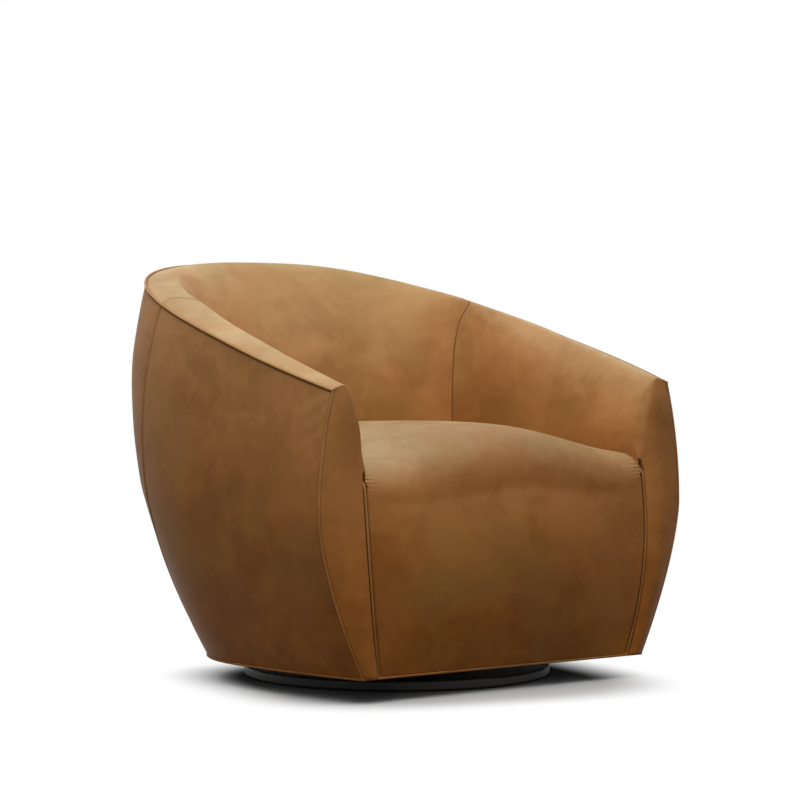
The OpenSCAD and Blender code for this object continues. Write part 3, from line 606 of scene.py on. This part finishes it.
# Paler colours of the painted sheen.
SHEEN_DYE = ((0.312, 0.208, 0.098), (0.408, 0.292, 0.154))
RED_CAST, OLIVE_CAST = (0.325, 0.128, 0.044), (0.285, 0.156, 0.046)
# Colour of the painted shade down in the seams' grooves.
SEAM_SHADE_DYE = (0.085, 0.026, 0.006)
CLOUD_CONTRAST = 7.5
CAST_CONTRAST, CAST_MOST = 2.2, 0.35


def leather(name, shift, shade=1.0):
    """Satin leather: cloudy dye, a painted sheen on its upper parts and painted shade in seams."""
    recipe, place = start_material(name)
    moved = recipe.node("ShaderNodeMapping", {}, {"Vector": place, "Location": shift})
    cloud = recipe.spots(moved, 3.0, 3.0, 0.5, 0.4)
    patch = recipe.spots(moved, 9.0, 4.0, 0.6, 0.6)
    fleck = recipe.spots(moved, 26.0, 3.0, 0.55, 0.5)
    streak = recipe.node("ShaderNodeMapping", {}, {"Vector": moved, "Scale": (1.0, 1.0, 2.6)})
    drawn = recipe.spots(streak, 6.0, 3.0, 0.55, 0.8)
    speck = recipe.spots(moved, 70.0, 3.0, 0.6)
    tone = cloud * 0.30 + patch * 0.30 + fleck * 0.18 + drawn * 0.18 + speck * 0.04
    share = ((tone - 0.5) * CLOUD_CONTRAST + 0.5).limit(0, 1)
    # The stretched mark gives the share of painted sheen.
    painted_sheen = recipe.node("ShaderNodeAttribute", {"attribute_name": "stretched"}, output="Fac")
    dye = recipe.mix(painted_sheen, recipe.mix(share, *DYE), recipe.mix(share, *SHEEN_DYE))
    red, olive = recipe.spots(moved, 5.5, 3.0, 0.55, 0.5), recipe.spots(moved, 3.7, 2.0, 0.5)
    for cast, colour in ((red, RED_CAST), (olive, OLIVE_CAST)):
        dye = recipe.mix(((cast - 0.5) * CAST_CONTRAST).limit(0, CAST_MOST), dye, colour)
    # Shade dims the painted sheen; the seat sets it lower.
    dye = recipe.mix(painted_sheen, dye, (shade, shade, shade), "MULTIPLY")
    # Painted shade: darker colour down in the seams' grooves, by their depth.
    seam = recipe.node("ShaderNodeAttribute", {"attribute_name": "seam"}, output="Fac")
    dye = recipe.mix((seam * 1.2).limit(0, 0.9), dye, SEAM_SHADE_DYE)
    cells = recipe.node("ShaderNodeTexVoronoi", {"feature": "DISTANCE_TO_EDGE"},
                        {"Vector": moved, "Scale": 620.0}, output="Distance")
    pores = recipe.spots(moved, 850.0, 2.0, 0.6)
    creases = recipe.spots(moved, 60.0, 4.0, 0.65, 1.5)
    grain = recipe.bump((cells * 2.0).limit(0, 1) * 0.6 + pores * 0.4, 0.00006)
    return recipe.surface({
        "Base Color": dye,
        "Roughness": (0.40 + patch * 0.12 + speck * 0.08 + seam * 0.4).limit(0, 0.9),
        "Specular IOR Level": 0.06,
        "Normal": recipe.bump(creases, 0.0003, grain)})


WELTED = (0.0022, 0.0030)       # depth and half width of a panel's groove beside a welt
LAPPED = (0.0014, 0.0028)       # the same on the padded side of that welt
HEMMED = (0.0010, 0.0024)       # and above the welt along the bottom
LEATHER_THICK = 0.0022
SEAM_POINTS = 200
PANEL_MIDDLE = 0.35             # height at which a panel's columns are spaced


def seam_line(a, z):
    return place_at(a, outer_reach(a, z), z)


def edge_line(low_a, high_a):
    a = np.linspace(low_a, high_a, SEAM_POINTS)
    return seam_line(a, edge_height(a))


def upright_line(a):
    z = np.linspace(HEM_Z, float(edge_height(np.array(a))), SEAM_POINTS)
    return seam_line(np.full(SEAM_POINTS, a), z)


def outer_panel(name, low_a, high_a, shift, seed, folds=None):
    """Panel between two stations, from the bottom welt to the top edge seam."""
    def middle(a):
        return seam_line(a, np.full(np.shape(a), PANEL_MIDDLE))

    def upright(k):
        a = np.full(np.shape(k), (low_a + high_a) / 2)
        return seam_line(a, mix(HEM_Z, edge_height(a), k))

    a, k = np.meshgrid(steps(middle, low_a, high_a)[::-1], steps(upright, 0, 1))
    piece = sheet(name, [seam_line(a, mix(HEM_Z, edge_height(a), k))])
    around = np.linspace(low_a, high_a, SEAM_POINTS)
    seams = [(line, *WELTED) for line in (upright_line(low_a), upright_line(high_a),
                                          edge_line(low_a, high_a))]
    seams.append((seam_line(around, np.full(SEAM_POINTS, HEM_Z)), *HEMMED))
    upholster(piece, leather(name, shift), seams, LEATHER_THICK, PANEL_WAVES, seed, folds=folds)
    return piece


WRINKLE_PITCH, WRINKLE_HEIGHT = 0.021, 0.0005
WRINKLE_BACK, WRINKLE_DOWN = 0.085, 0.045       # how far they reach back and down from the tip


def tip_wrinkles(points, near):
    """Short slanting pulls in the side panels under the arm's tip."""
    to_front = points[:, 1] - FRONT_Y
    below_edge = EDGE_Z + EDGE_SLOPE * points[:, 1] - points[:, 2]
    slant = below_edge * 0.70 - to_front * 0.55
    spot = (np.exp(-(to_front / WRINKLE_BACK) ** 2)
            * np.exp(-((below_edge - WRINKLE_DOWN) / WRINKLE_DOWN) ** 2))
    wave = np.sin(slant * 2 * math.pi / WRINKLE_PITCH + 1.6 * ripples(points, 22.0, 5))
    return WRINKLE_HEIGHT * spot * wave * (1 - np.exp(-near / 0.006))


for piece, node in (
        (outer_panel("leather_side_left", -ARM_END, -SEAM_AT, (0.3, 0.1, 0.7), 1, tip_wrinkles),
         "outer_side_cover_left"),
        (outer_panel("leather_side_right", SEAM_AT, ARM_END, (1.9, 0.4, 0.2), 2, tip_wrinkles),
         "outer_side_cover_right"),
        (outer_panel("leather_back", -SEAM_AT, SEAM_AT, (0.8, 2.2, 1.1), 3), "outer_back_cover")):
    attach(piece, "seat_shell")
    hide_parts(node)


# Inner back: a foam pad under leather that rises from the seat, leans out and rolls over to the
# outer edge seam. A plain closed seam joins it to the arm pads on both sides.
UPRIGHT_END, CREST_AT = 0.08, 0.68      # shares of the way from the seat to the edge seam
SEAT_LEVEL, UPRIGHT_Z = 0.3183, 0.400
ROUNDING = 1.62                 # how gradually the pad's section turns over, 2 is an ellipse
CREST_CORNER, RISE_FROM = 65.0, 30.0    # stations
INSET_MIDDLE, INSET_CORNER, INSET_SIDE, INSET_TIP = 0.053, 0.061, 0.048, 0.026
RISE_MIDDLE, RISE_SIDE, RISE_TIP = 0.0065, 0.0165, 0.009
INNER_W, INNER_DEPTH, INNER_POWER = 0.300, 0.256, 3.0
INNER_TIP_W = 0.306
INNER_CROWN, CROWN_LOST = 0.009, 0.55   # the face's fullness, and the share lost by the arm's tip
PAD_THICK = 0.009
PLAIN = (0.0014, 0.0010)        # depth and half width of a plain closed seam
HIDDEN = (0, 1)                 # no groove: the border is out of sight
JOINT_AT = 59.3                 # station of the joint seam over most of the upright part
JOINT_S = (0, 0.384, 0.476, 0.526, 0.581, 0.629, 0.663, 0.70, 0.75, 0.80, 0.86, 0.93, 1)
JOINT_A = (59.0, 59.3, 60.2, 61.6, 62.8, 63.2, 62.7, 61.3, 59.2, 57.6, 57.0, 57.8, SEAM_AT)
FACE_ROWS = np.concatenate([np.linspace(0, UPRIGHT_END, 5),
                            np.linspace(UPRIGHT_END, CREST_AT, 27)[1:],
                            [0.70, 0.73, 0.77, 0.81, 0.85, 0.885, 0.915, 0.94, 0.965, 0.985, 1]])
TOP_ROWS = int((FACE_ROWS > CREST_AT + 0.001).sum())


def crest_inset(a):
    """How far inside the edge seam the crest lies."""
    a = np.abs(a)
    corner = mix(INSET_MIDDLE, INSET_CORNER, ease(a / CREST_CORNER))
    side = mix(INSET_CORNER, INSET_SIDE, ease((a - CREST_CORNER) / (90 - CREST_CORNER)))
    arm = mix(INSET_SIDE, INSET_TIP, arm_share(a) ** 2)
    return np.where(a < CREST_CORNER, corner, np.where(a < 90, side, arm))


def crest_rise(a):
    """How far above the edge seam the crest lies."""
    back = mix(RISE_MIDDLE, RISE_SIDE, ease((np.abs(a) - RISE_FROM) / (90 - RISE_FROM)))
    return np.where(np.abs(a) < 90, back, mix(RISE_SIDE, RISE_TIP, arm_share(a)))


def face_point(a, s):
    """Point of the inner face: s runs from 0 at seat level over the crest to 1 at the edge."""
    edge = edge_height(a)
    edge_r = outer_reach(a, edge)
    inner = np.where(np.abs(a) <= 90, round_reach(a, INNER_W, INNER_DEPTH, INNER_POWER),
                     mix(INNER_W, INNER_TIP_W, arm_share(a)))
    crest = edge_r - crest_inset(a)
    crest_z = edge + crest_rise(a)
    turned = np.clip((s - UPRIGHT_END) / (CREST_AT - UPRIGHT_END), 0, 1) * math.pi / 2
    rise = np.sin(turned) ** (2 / ROUNDING)
    lean = np.abs(np.cos(turned)) ** (2 / ROUNDING)
    outward = np.clip((s - CREST_AT) / (1 - CREST_AT), 0, 1)
    crown = INNER_CROWN * (1 - CROWN_LOST * arm_share(a)) * np.sin(math.pi * rise)
    r = np.where(s <= CREST_AT, mix(crest, inner, lean) - crown, mix(crest, edge_r, outward))
    z = np.where(s <= UPRIGHT_END, mix(SEAT_LEVEL, UPRIGHT_Z, np.clip(s / UPRIGHT_END, 0, 1)),
                 mix(UPRIGHT_Z, crest_z, rise) - crest_rise(a) * outward ** 2)
    return place_at(a, r, z)


def joint_at(s):
    """Station of the seam between the back pad and an arm pad."""
    return np.interp(s, JOINT_S, JOINT_A)


FIRM = (0.0020, 0.0050)         # how much smaller a firm pad starts, and how far it may move
SINK = 0.0010                   # how far the foam lets the cover sink into it
SEWN_WITHIN, FREE_WITHIN = 0.004, 0.03          # distances from a seam
PRESSURE = 4.0
CLOTH_FRAMES = 20
EVENING = 12                    # rounds of evening
FOLD_SHARE, FOLD_MOST = 0.2, 0.002              # what evening leaves of a fold


def stuff(piece, seams, inside, start, room):
    """Swells a sewn cover by cloth simulation, from a shape that is smaller by start.

    Its movement along the normal, outwards up to room, is evened over the neighbours, as taut
    leather is."""
    points, out = read_points(piece), read_points(piece, "normal")
    near = grooves(piece, seams, inside)[0]
    free = 1 - np.exp(-(near / FREE_WITHIN) ** 2)
    write_points(piece, points - out * (start * free)[:, None])
    sewn = piece.vertex_groups.new(name="sewn")
    sewn.add([int(i) for i in np.flatnonzero(near < SEWN_WITHIN)], 1.0, "REPLACE")
    cloth = piece.modifiers.new("swell", "CLOTH")
    cloth.settings.quality = 5
    cloth.settings.mass = 0.4
    cloth.settings.tension_stiffness = cloth.settings.compression_stiffness = 18
    cloth.settings.shear_stiffness = 8
    cloth.settings.bending_stiffness = 4
    cloth.settings.vertex_group_mass = "sewn"
    cloth.settings.use_pressure = True
    cloth.settings.uniform_pressure_force = PRESSURE
    cloth.settings.effector_weights.gravity = 0
    for frame_number in range(1, CLOTH_FRAMES + 1):
        scene.frame_set(frame_number)
    take(piece)
    bpy.ops.object.modifier_apply(modifier=cloth.name)
    scene.frame_set(1)
    rise = np.clip(((read_points(piece) - points) * out).sum(axis=1), -SINK, room)
    ends = edge_ends(piece)
    low, high = ends.T
    neighbours = np.bincount(ends.ravel(), minlength=len(points))
    even = rise
    for _ in range(EVENING):
        around = (np.bincount(low, even[high], len(points))
                  + np.bincount(high, even[low], len(points)))
        even = mix(even, around / neighbours, 0.5) * (near >= SEWN_WITHIN)
    rise = even + FOLD_SHARE * np.clip(rise - even, -FOLD_MOST, FOLD_MOST)
    write_points(piece, points + out * rise[:, None])
    piece.data.update()


def pad(name, grids, seams, shift, seed, nodes_inside, inside=(), folds=None, swell_by=FIRM,
        shade=1.0):
    """Padded piece: its sheet is swelled, upholstered and declared."""
    piece = sheet(name, grids)
    stuff(piece, seams, inside, *swell_by)
    upholster(piece, leather(name, shift, shade), seams, PAD_THICK, PAD_WAVES, seed, inside, folds)
    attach(piece, "seat_shell")
    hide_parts(*nodes_inside)


def joint_line(side):
    s = np.linspace(0, 1, 300)
    return face_point(side * joint_at(s), s)


def seat_level_line(low_a, high_a):
    a = np.linspace(low_a, high_a, 120)
    return face_point(a, np.zeros(120))


def level(a):
    """Line round the inner face at half its way up, along which the columns are spaced."""
    return face_point(a, np.full(np.shape(a), 0.5))


c, s = np.meshgrid(steps(level, -JOINT_AT, JOINT_AT) / JOINT_AT, FACE_ROWS)
pad("back_pad", [face_point(c * joint_at(s), s)],
    [(joint_line(-1), *PLAIN), (joint_line(1), *PLAIN), (edge_line(-SEAM_AT, SEAM_AT), *LAPPED),
     (seat_level_line(-JOINT_A[0], JOINT_A[0]), *HIDDEN)],
    (0.5, 0.9, 1.6), 4, ("inner_back_cover", "back_foam"))


# Arms: one padded cover each, over the inner arm, the rolled top and round the corner to the
# narrow arm front, which is sewn to the side panel and to the seat. A short seam closes the tip.
SEAT_SIDE_Z = 0.402
SEAM_BULGE = 0.016
FRONT_CROWN, CROWN_FADES = 0.009, 0.86  # fullness of the arm front, and where it starts to fade
CORNER_ROUND = (0.004, 0.013)   # radius of the arm's inner corner at the tip and below
CORNER_GROWS = 0.045            # depth below the crest at which it has grown to the second
CORNER_FROM, CORNER_OVER = 0.385, 0.04  # heights over which the corner sets in beside the seat
NECK_FROM, NECK_OVER = 0.372, 0.028     # and over which the seat's seam turns into the corner
LOW_ROWS = 22                   # of the arm front beside the seat
TIP_ARCH = 14                   # power that keeps the tip's arch to the top rows
FOOT_INNER = 0.277              # half width of the seat's front at the bottom
SEATED = (0.0045, 0.0036)       # depth and half width of the groove beside the seat's welts
OVER_TIP = (0.0007, 0.0009)     # and of the short seam over the tip


def seat_width(z):
    return swell(z, most=0.312, low=FOOT_INNER, high=0.312, most_z=0.312, high_z=0.680, power=2.0)


def seam_bulge(z):
    return SEAM_BULGE * np.sin(math.pi * np.clip((z - BOTTOM_Z) / (SEAT_SIDE_Z - BOTTOM_Z), 0, 1))


def seat_seam_line(side, z):
    return np.stack([side * seat_width(z), FRONT_Y - seam_bulge(z), z], axis=-1)


def corner_round(z, crest_z):
    return (mix(*CORNER_ROUND, ease((crest_z - z) / CORNER_GROWS))
            * ease((z - CORNER_FROM) / CORNER_OVER))


def arm_grids(side):
    """Grids of the inner arm with its top, and of the arm front, which share a border."""
    end = np.full(len(FACE_ROWS), ARM_END)
    tip = face_point(end, FACE_ROWS)
    crest_z = tip[:, 2].max()
    beyond = np.clip((FACE_ROWS - CREST_AT) / (1 - CREST_AT), 0, 1)
    round_r = np.where(beyond > 0, CORNER_ROUND[0] * (1 - beyond) ** 2,
                       corner_round(tip[:, 2], crest_z))
    last = ARM_END - ARM_UNITS * round_r / (AXIS_Y - FRONT_Y)
    cols = steps(level, JOINT_AT, ARM_END, fine=(0.004, 0.010))
    c = (cols - JOINT_AT) / (ARM_END - JOINT_AT)
    a = mix(joint_at(FACE_ROWS)[:, None], last[:, None], c[None, :])
    inner = face_point(a, np.repeat(FACE_ROWS[:, None], len(c), 1))
    border = inner[:, -1]
    shared = (FACE_ROWS >= UPRIGHT_END - 1e-6) & (FACE_ROWS <= CREST_AT + 1e-6)
    low_z = np.linspace(HEM_Z, UPRIGHT_Z, LOW_ROWS + 1)[:-1]
    z_in = np.concatenate([low_z, border[shared, 2]])
    near_seat = mix(border[shared][0, 0], seat_width(low_z),
                    1 - ease((low_z - NECK_FROM) / NECK_OVER))
    x_in = np.concatenate([near_seat, border[shared, 0]])
    r = np.concatenate([corner_round(low_z, crest_z), round_r[shared]])
    share = (z_in - HEM_Z) / (crest_z - HEM_Z)
    z_out = mix(HEM_Z, tip[-1, 2], share)
    x_out = front_width(z_out)
    bulge = seam_bulge(z_in)
    fade = 1 - np.clip((share - CROWN_FADES) / (1 - CROWN_FADES), 0, 1) ** 3
    top = border[len(FACE_ROWS) - TOP_ROWS - 1:]
    k = (top[:, 0] - top[0, 0]) / (top[-1, 0] - top[0, 0])
    front = np.empty((len(z_in), len(k), 3))
    for i, across in enumerate(k):
        z = mix(z_in, z_out, across)
        across_in = mix(x_in, x_out, across) - x_in
        rounded = np.sqrt(np.clip(1 - across_in / np.maximum(r, 1e-6), 0, 1))
        y = (FRONT_Y - (1 - across) * bulge - FRONT_CROWN * math.sin(math.pi * across) * fade
             + r * rounded ** 3)
        arched = top[i, 2] - mix(top[0, 2], tip[-1, 2], across)
        front[:, i] = np.stack([x_in + across_in, y, z + arched * share ** TIP_ARCH], axis=-1)
    front[len(low_z):, 0] = border[shared]
    front[-1] = top
    grids = [inner, front]
    if side < 0:
        grids = [grid[:, ::-1] * (-1, 1, 1) for grid in grids]
    return grids, top[1:] * (side, 1, 1)


for side, word, seed in ((-1, "left", 5), (1, "right", 6)):
    grids, over_tip = arm_grids(side)
    heights = np.linspace(HEM_Z, over_tip[-1, 2], SEAM_POINTS)
    front_seam = np.stack([side * front_width(heights), 0 * heights + FRONT_Y, heights], axis=-1)
    low = heights[(heights > HEM_Z + 0.008) & (heights < SEAT_SIDE_Z - 0.014)]
    hem = np.linspace((side * FOOT_INNER, FRONT_Y, HEM_Z), (side * FOOT_OUTER, FRONT_Y, HEM_Z), 20)
    under_seat = np.linspace((side * INNER_TIP_W, FRONT_Y, SEAT_LEVEL),
                             (side * INNER_TIP_W, FRONT_Y, UPRIGHT_Z), 40)
    pad(f"arm_pad_{word}", grids,
        [(joint_line(side), *PLAIN), (edge_line(side * SEAM_AT, side * ARM_END), *LAPPED),
         (front_seam, *LAPPED), (seat_seam_line(side, low), *SEATED), (hem, *HEMMED),
         (under_seat, *HIDDEN),
         (seat_level_line(side * JOINT_A[0], side * ARM_END), *HIDDEN)],
        (2.4, 0.3 * side, 0.8), seed,
        (f"inner_arm_cover_{word}", f"arm_foam_{word}", f"arm_front_cover_{word}",
         f"arm_front_foam_{word}"), [(over_tip, *OVER_TIP)])


# Seat: a thick foam block under one piece of leather that runs over its top and down its front
# without a cross seam. Its front is sewn to the arm fronts, with small puckers at the top.
SEAT_CROWN_Z = 0.459            # above the nose; the seat rises a little more behind it
SEAT_SPREAD = 1.6               # how soon the crown falls to the sides
DOME, REAR_DROP, SIDE_RISE = 0.004, 0.021, 0.006
NOSE_START, NOSE_END = 0.36, 0.64
NOSE_ROUND = 0.83               # 1 turns over as an ellipse does, less does it more gradually
NOSE_REACH = (0.068, 0.130)     # from front to back, at the sides and in the middle
NOSE_SHARE = 0.8                # its height as a share of its reach
BELLY, BELLY_ABOVE = 0.032, 0.04        # the front's fullness, and how far above the crown it ends
SEAT_HALF_W, SEAT_DEPTH = (0.303, 0.297), 0.253
SIDES_IN_BY = 1.6               # how soon behind the nose the sides have drawn in
SOFT = (0.004, 0.008)           # how much smaller the seat starts, and how far it may move
GATHER_Z, GATHER_HALF, GATHER_REACH = 0.378, 0.017, 0.011
GATHER_PITCH, GATHER_HEIGHT, GATHER_FRONT = 0.0066, 0.0020, -0.27
CREASE_Z, CREASE_HALF, CREASE_REACH = 0.411, 0.010, 0.030
CREASE_PITCH, CREASE_HEIGHT, CREASE_FRONT = 0.0062, 0.0004, -0.24
CREASE_SLANT = 0.12
SEAM_CLEAR = 0.0025             # distance from the seam at which the folds set in


def seat_back(x):
    reach = np.minimum(np.abs(x) / SEAT_HALF_W[1], 0.999)
    return AXIS_Y + SEAT_DEPTH * (1 - reach ** 3) ** (1 / 3)


def seat_point(u, v):
    """Point of the cover: u runs across, v up the front, over the nose and back along the top."""
    blend = (1 - u * u) ** SEAT_SPREAD
    radius = mix(*NOSE_REACH, 1 - np.abs(u) ** 3)
    nose_z = mix(SEAT_SIDE_Z, SEAT_CROWN_Z, blend) - NOSE_SHARE * radius
    t = np.clip((v - NOSE_START) / (NOSE_END - NOSE_START), 0, 1) * math.pi / 2
    k = np.clip((v - NOSE_END) / (1 - NOSE_END), 0, 1)
    z_front = mix(HEM_Z, nose_z, np.clip(v / NOSE_START, 0, 1))
    z = z_front + NOSE_SHARE * radius * np.sin(t) ** NOSE_ROUND
    rise = np.clip((z_front - BOTTOM_Z) / (SEAT_CROWN_Z + BELLY_ABOVE - BOTTOM_Z), 0, 1)
    face_y = FRONT_Y - seam_bulge(z_front) - BELLY * (1 - u * u) * np.sin(math.pi * rise)
    width = np.where(v <= NOSE_END, mix(seat_width(z), SEAT_HALF_W[0], np.sin(t)),
                     mix(*SEAT_HALF_W, np.clip(k * SIDES_IN_BY, 0, 1)))
    x = u * width
    y = mix(face_y + radius * (1 - np.cos(t) ** NOSE_ROUND), seat_back(x), k)
    domed = DOME * (1 - (1 - k) ** 2) - REAR_DROP * k * k
    return np.stack([x, y, z + domed * blend + SIDE_RISE * k * (1 - blend)], axis=-1)


def puckers(points, near):
    """Short gathers across the top of each side seam, and longer fine creases above them."""
    x, y, z = points.T
    to_seam = np.abs(np.abs(x) - seat_width(z))
    gathered = (np.exp(-((z - GATHER_Z) / GATHER_HALF) ** 2) * np.exp(-to_seam / GATHER_REACH)
                * (y < GATHER_FRONT))
    gather = np.sin(z * 2 * math.pi / GATHER_PITCH + 1.6 * ripples(points, 40.0, 11))
    creased = (np.exp(-((z - CREASE_Z) / CREASE_HALF) ** 2) * np.exp(-to_seam / CREASE_REACH)
               * (y < CREASE_FRONT))
    crease = np.sin((z + CREASE_SLANT * to_seam) * 2 * math.pi / CREASE_PITCH
                    + ripples(points, 18.0, 12))
    away = 1 - np.exp(-(to_seam / SEAM_CLEAR) ** 2)
    return away * (GATHER_HEIGHT * gathered * gather + CREASE_HEIGHT * creased * crease)


rows = steps(lambda v: seat_point(np.full(np.shape(v), 0.9), v), 0, 1,
             closeup=(0.285, 0.375, 0.006))
cols = steps(lambda u: seat_point(u, np.full(np.shape(u), 0.3)), -1, 1)
u, v = np.meshgrid(cols, rows)
heights = np.linspace(HEM_Z + 0.008, SEAT_SIDE_Z - 0.020, 160)
across = np.linspace(-1, 1, 100)
tops = np.linspace(NOSE_START + 0.06, 1, 100)
seams = [(seat_seam_line(side, heights), *SEATED) for side in (-1, 1)]
seams.append((seat_point(across, np.zeros(100)), *HEMMED))
seams += [(seat_point(np.full(100, side), tops), *HIDDEN) for side in (-1, 1)]
seams.append((seat_point(across, np.ones(100)), *HIDDEN))
# The seat's painted sheen is dimmed by shade.
pad("seat_pad", [seat_point(u, v)], seams, (0.1, 0.6, 2.3), 9, ("seat_cover", "seat_foam"),
    folds=puckers, swell_by=SOFT, shade=0.80)


# Welts: narrow strips of the same leather, folded round a cord and sewn into the outer seams and
# the bottom edge. They take the painted sheen by height and a fixed extra share of it.
WELT_R = 0.0022
WELT_SHEEN = 0.12                # how much more painted sheen a welt takes than the leather beside it
EDGE_OUT, EDGE_UP = 0.0006, 0.0004      # how the top welt lies off its seam
REAR_IN = 0.0008
FRONT_IN, FRONT_BACK = 0.0006, 0.0004
SEAT_BACK = 0.0012
TUCK = 0.042                    # length over which the seat's welt runs back into its crack
TUCK_OUT, TUCK_BACK = 0.002, 0.024      # and how far it goes there
WELT_FOOT = BOTTOM_Z + 0.002    # where the upright welts start
welt_leather = leather("leather_welt", (3.1, 0.2, 0.9))


def welt(name, path, node, closed=False):
    """Round tube along a path, swept by a curve's bevel."""
    line = bpy.data.curves.new(name, "CURVE")
    line.dimensions = "3D"
    line.bevel_depth, line.bevel_resolution, line.use_fill_caps = WELT_R, 3, not closed
    spline = line.splines.new("POLY")
    spline.points.add(len(path) - 1)
    spline.points.foreach_set("co", np.c_[path, np.ones(len(path))].ravel())
    spline.use_cyclic_u = closed
    tube = bpy.data.objects.new(name, line)
    scene.collection.objects.link(tube)
    take(tube)
    bpy.ops.object.convert(target="MESH")
    tube = bpy.context.object
    tube.name = tube.data.name = name
    bpy.ops.object.shade_smooth()
    # Painted sheen by height, and a fixed extra share of it on every welt.
    mark(tube, "stretched", sheen_by_height(read_points(tube)[:, 2]) + WELT_SHEEN)
    tube.data.materials.clear()
    tube.data.materials.append(welt_leather)
    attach(tube, "seat_shell")
    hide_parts(node)


around = np.concatenate([np.linspace(-ARM_END, -90, 90), np.linspace(-90, 90, 260)[1:-1],
                         np.linspace(90, ARM_END, 90)])
edge = edge_height(around)
welt("edge_seam_welt", place_at(around, outer_reach(around, edge) + EDGE_OUT, edge + EDGE_UP),
     "top_welt")
low = np.full(around.shape, BOTTOM_Z + WELT_R)
hem = place_at(around, outer_reach(around, low), low)
front_hem = np.stack([np.linspace(0.31, -0.31, 80)[1:-1], np.full(78, FRONT_Y),
                      np.full(78, BOTTOM_Z + WELT_R)], axis=-1)
welt("bottom_hem_welt", np.concatenate([hem, front_hem]), "bottom_welt", closed=True)
tip = float(edge_height(np.array(ARM_END)))
for side, word in ((-1, "left"), (1, "right")):
    a = np.full(140, side * SEAM_AT)
    z = np.linspace(WELT_FOOT, float(edge_height(a[:1])[0]) - 0.001, 140)
    welt(f"rear_seam_welt_{word}", place_at(a, outer_reach(a, z) - REAR_IN, z),
         f"rear_welt_{word}")
    z = np.linspace(WELT_FOOT, tip, 120)
    seam = np.stack([side * (front_width(z) - FRONT_IN), FRONT_Y + FRONT_BACK + 0 * z, z], axis=-1)
    welt(f"front_seam_welt_{word}", seam, f"front_welt_{word}")
    z = np.linspace(WELT_FOOT, SEAT_SIDE_Z - 0.001, 100)
    tucked = ease((z - SEAT_SIDE_Z + TUCK) / TUCK)
    seam = np.stack([side * (seat_width(z) + TUCK_OUT * tucked),
                     FRONT_Y - seam_bulge(z) + SEAT_BACK + TUCK_BACK * tucked, z], axis=-1)
    welt(f"seat_seam_welt_{word}", seam, f"seat_welt_{word}")


size = {"cad": [list(cad_low), list(cad_high)], "visual": [list(p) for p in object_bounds()]}
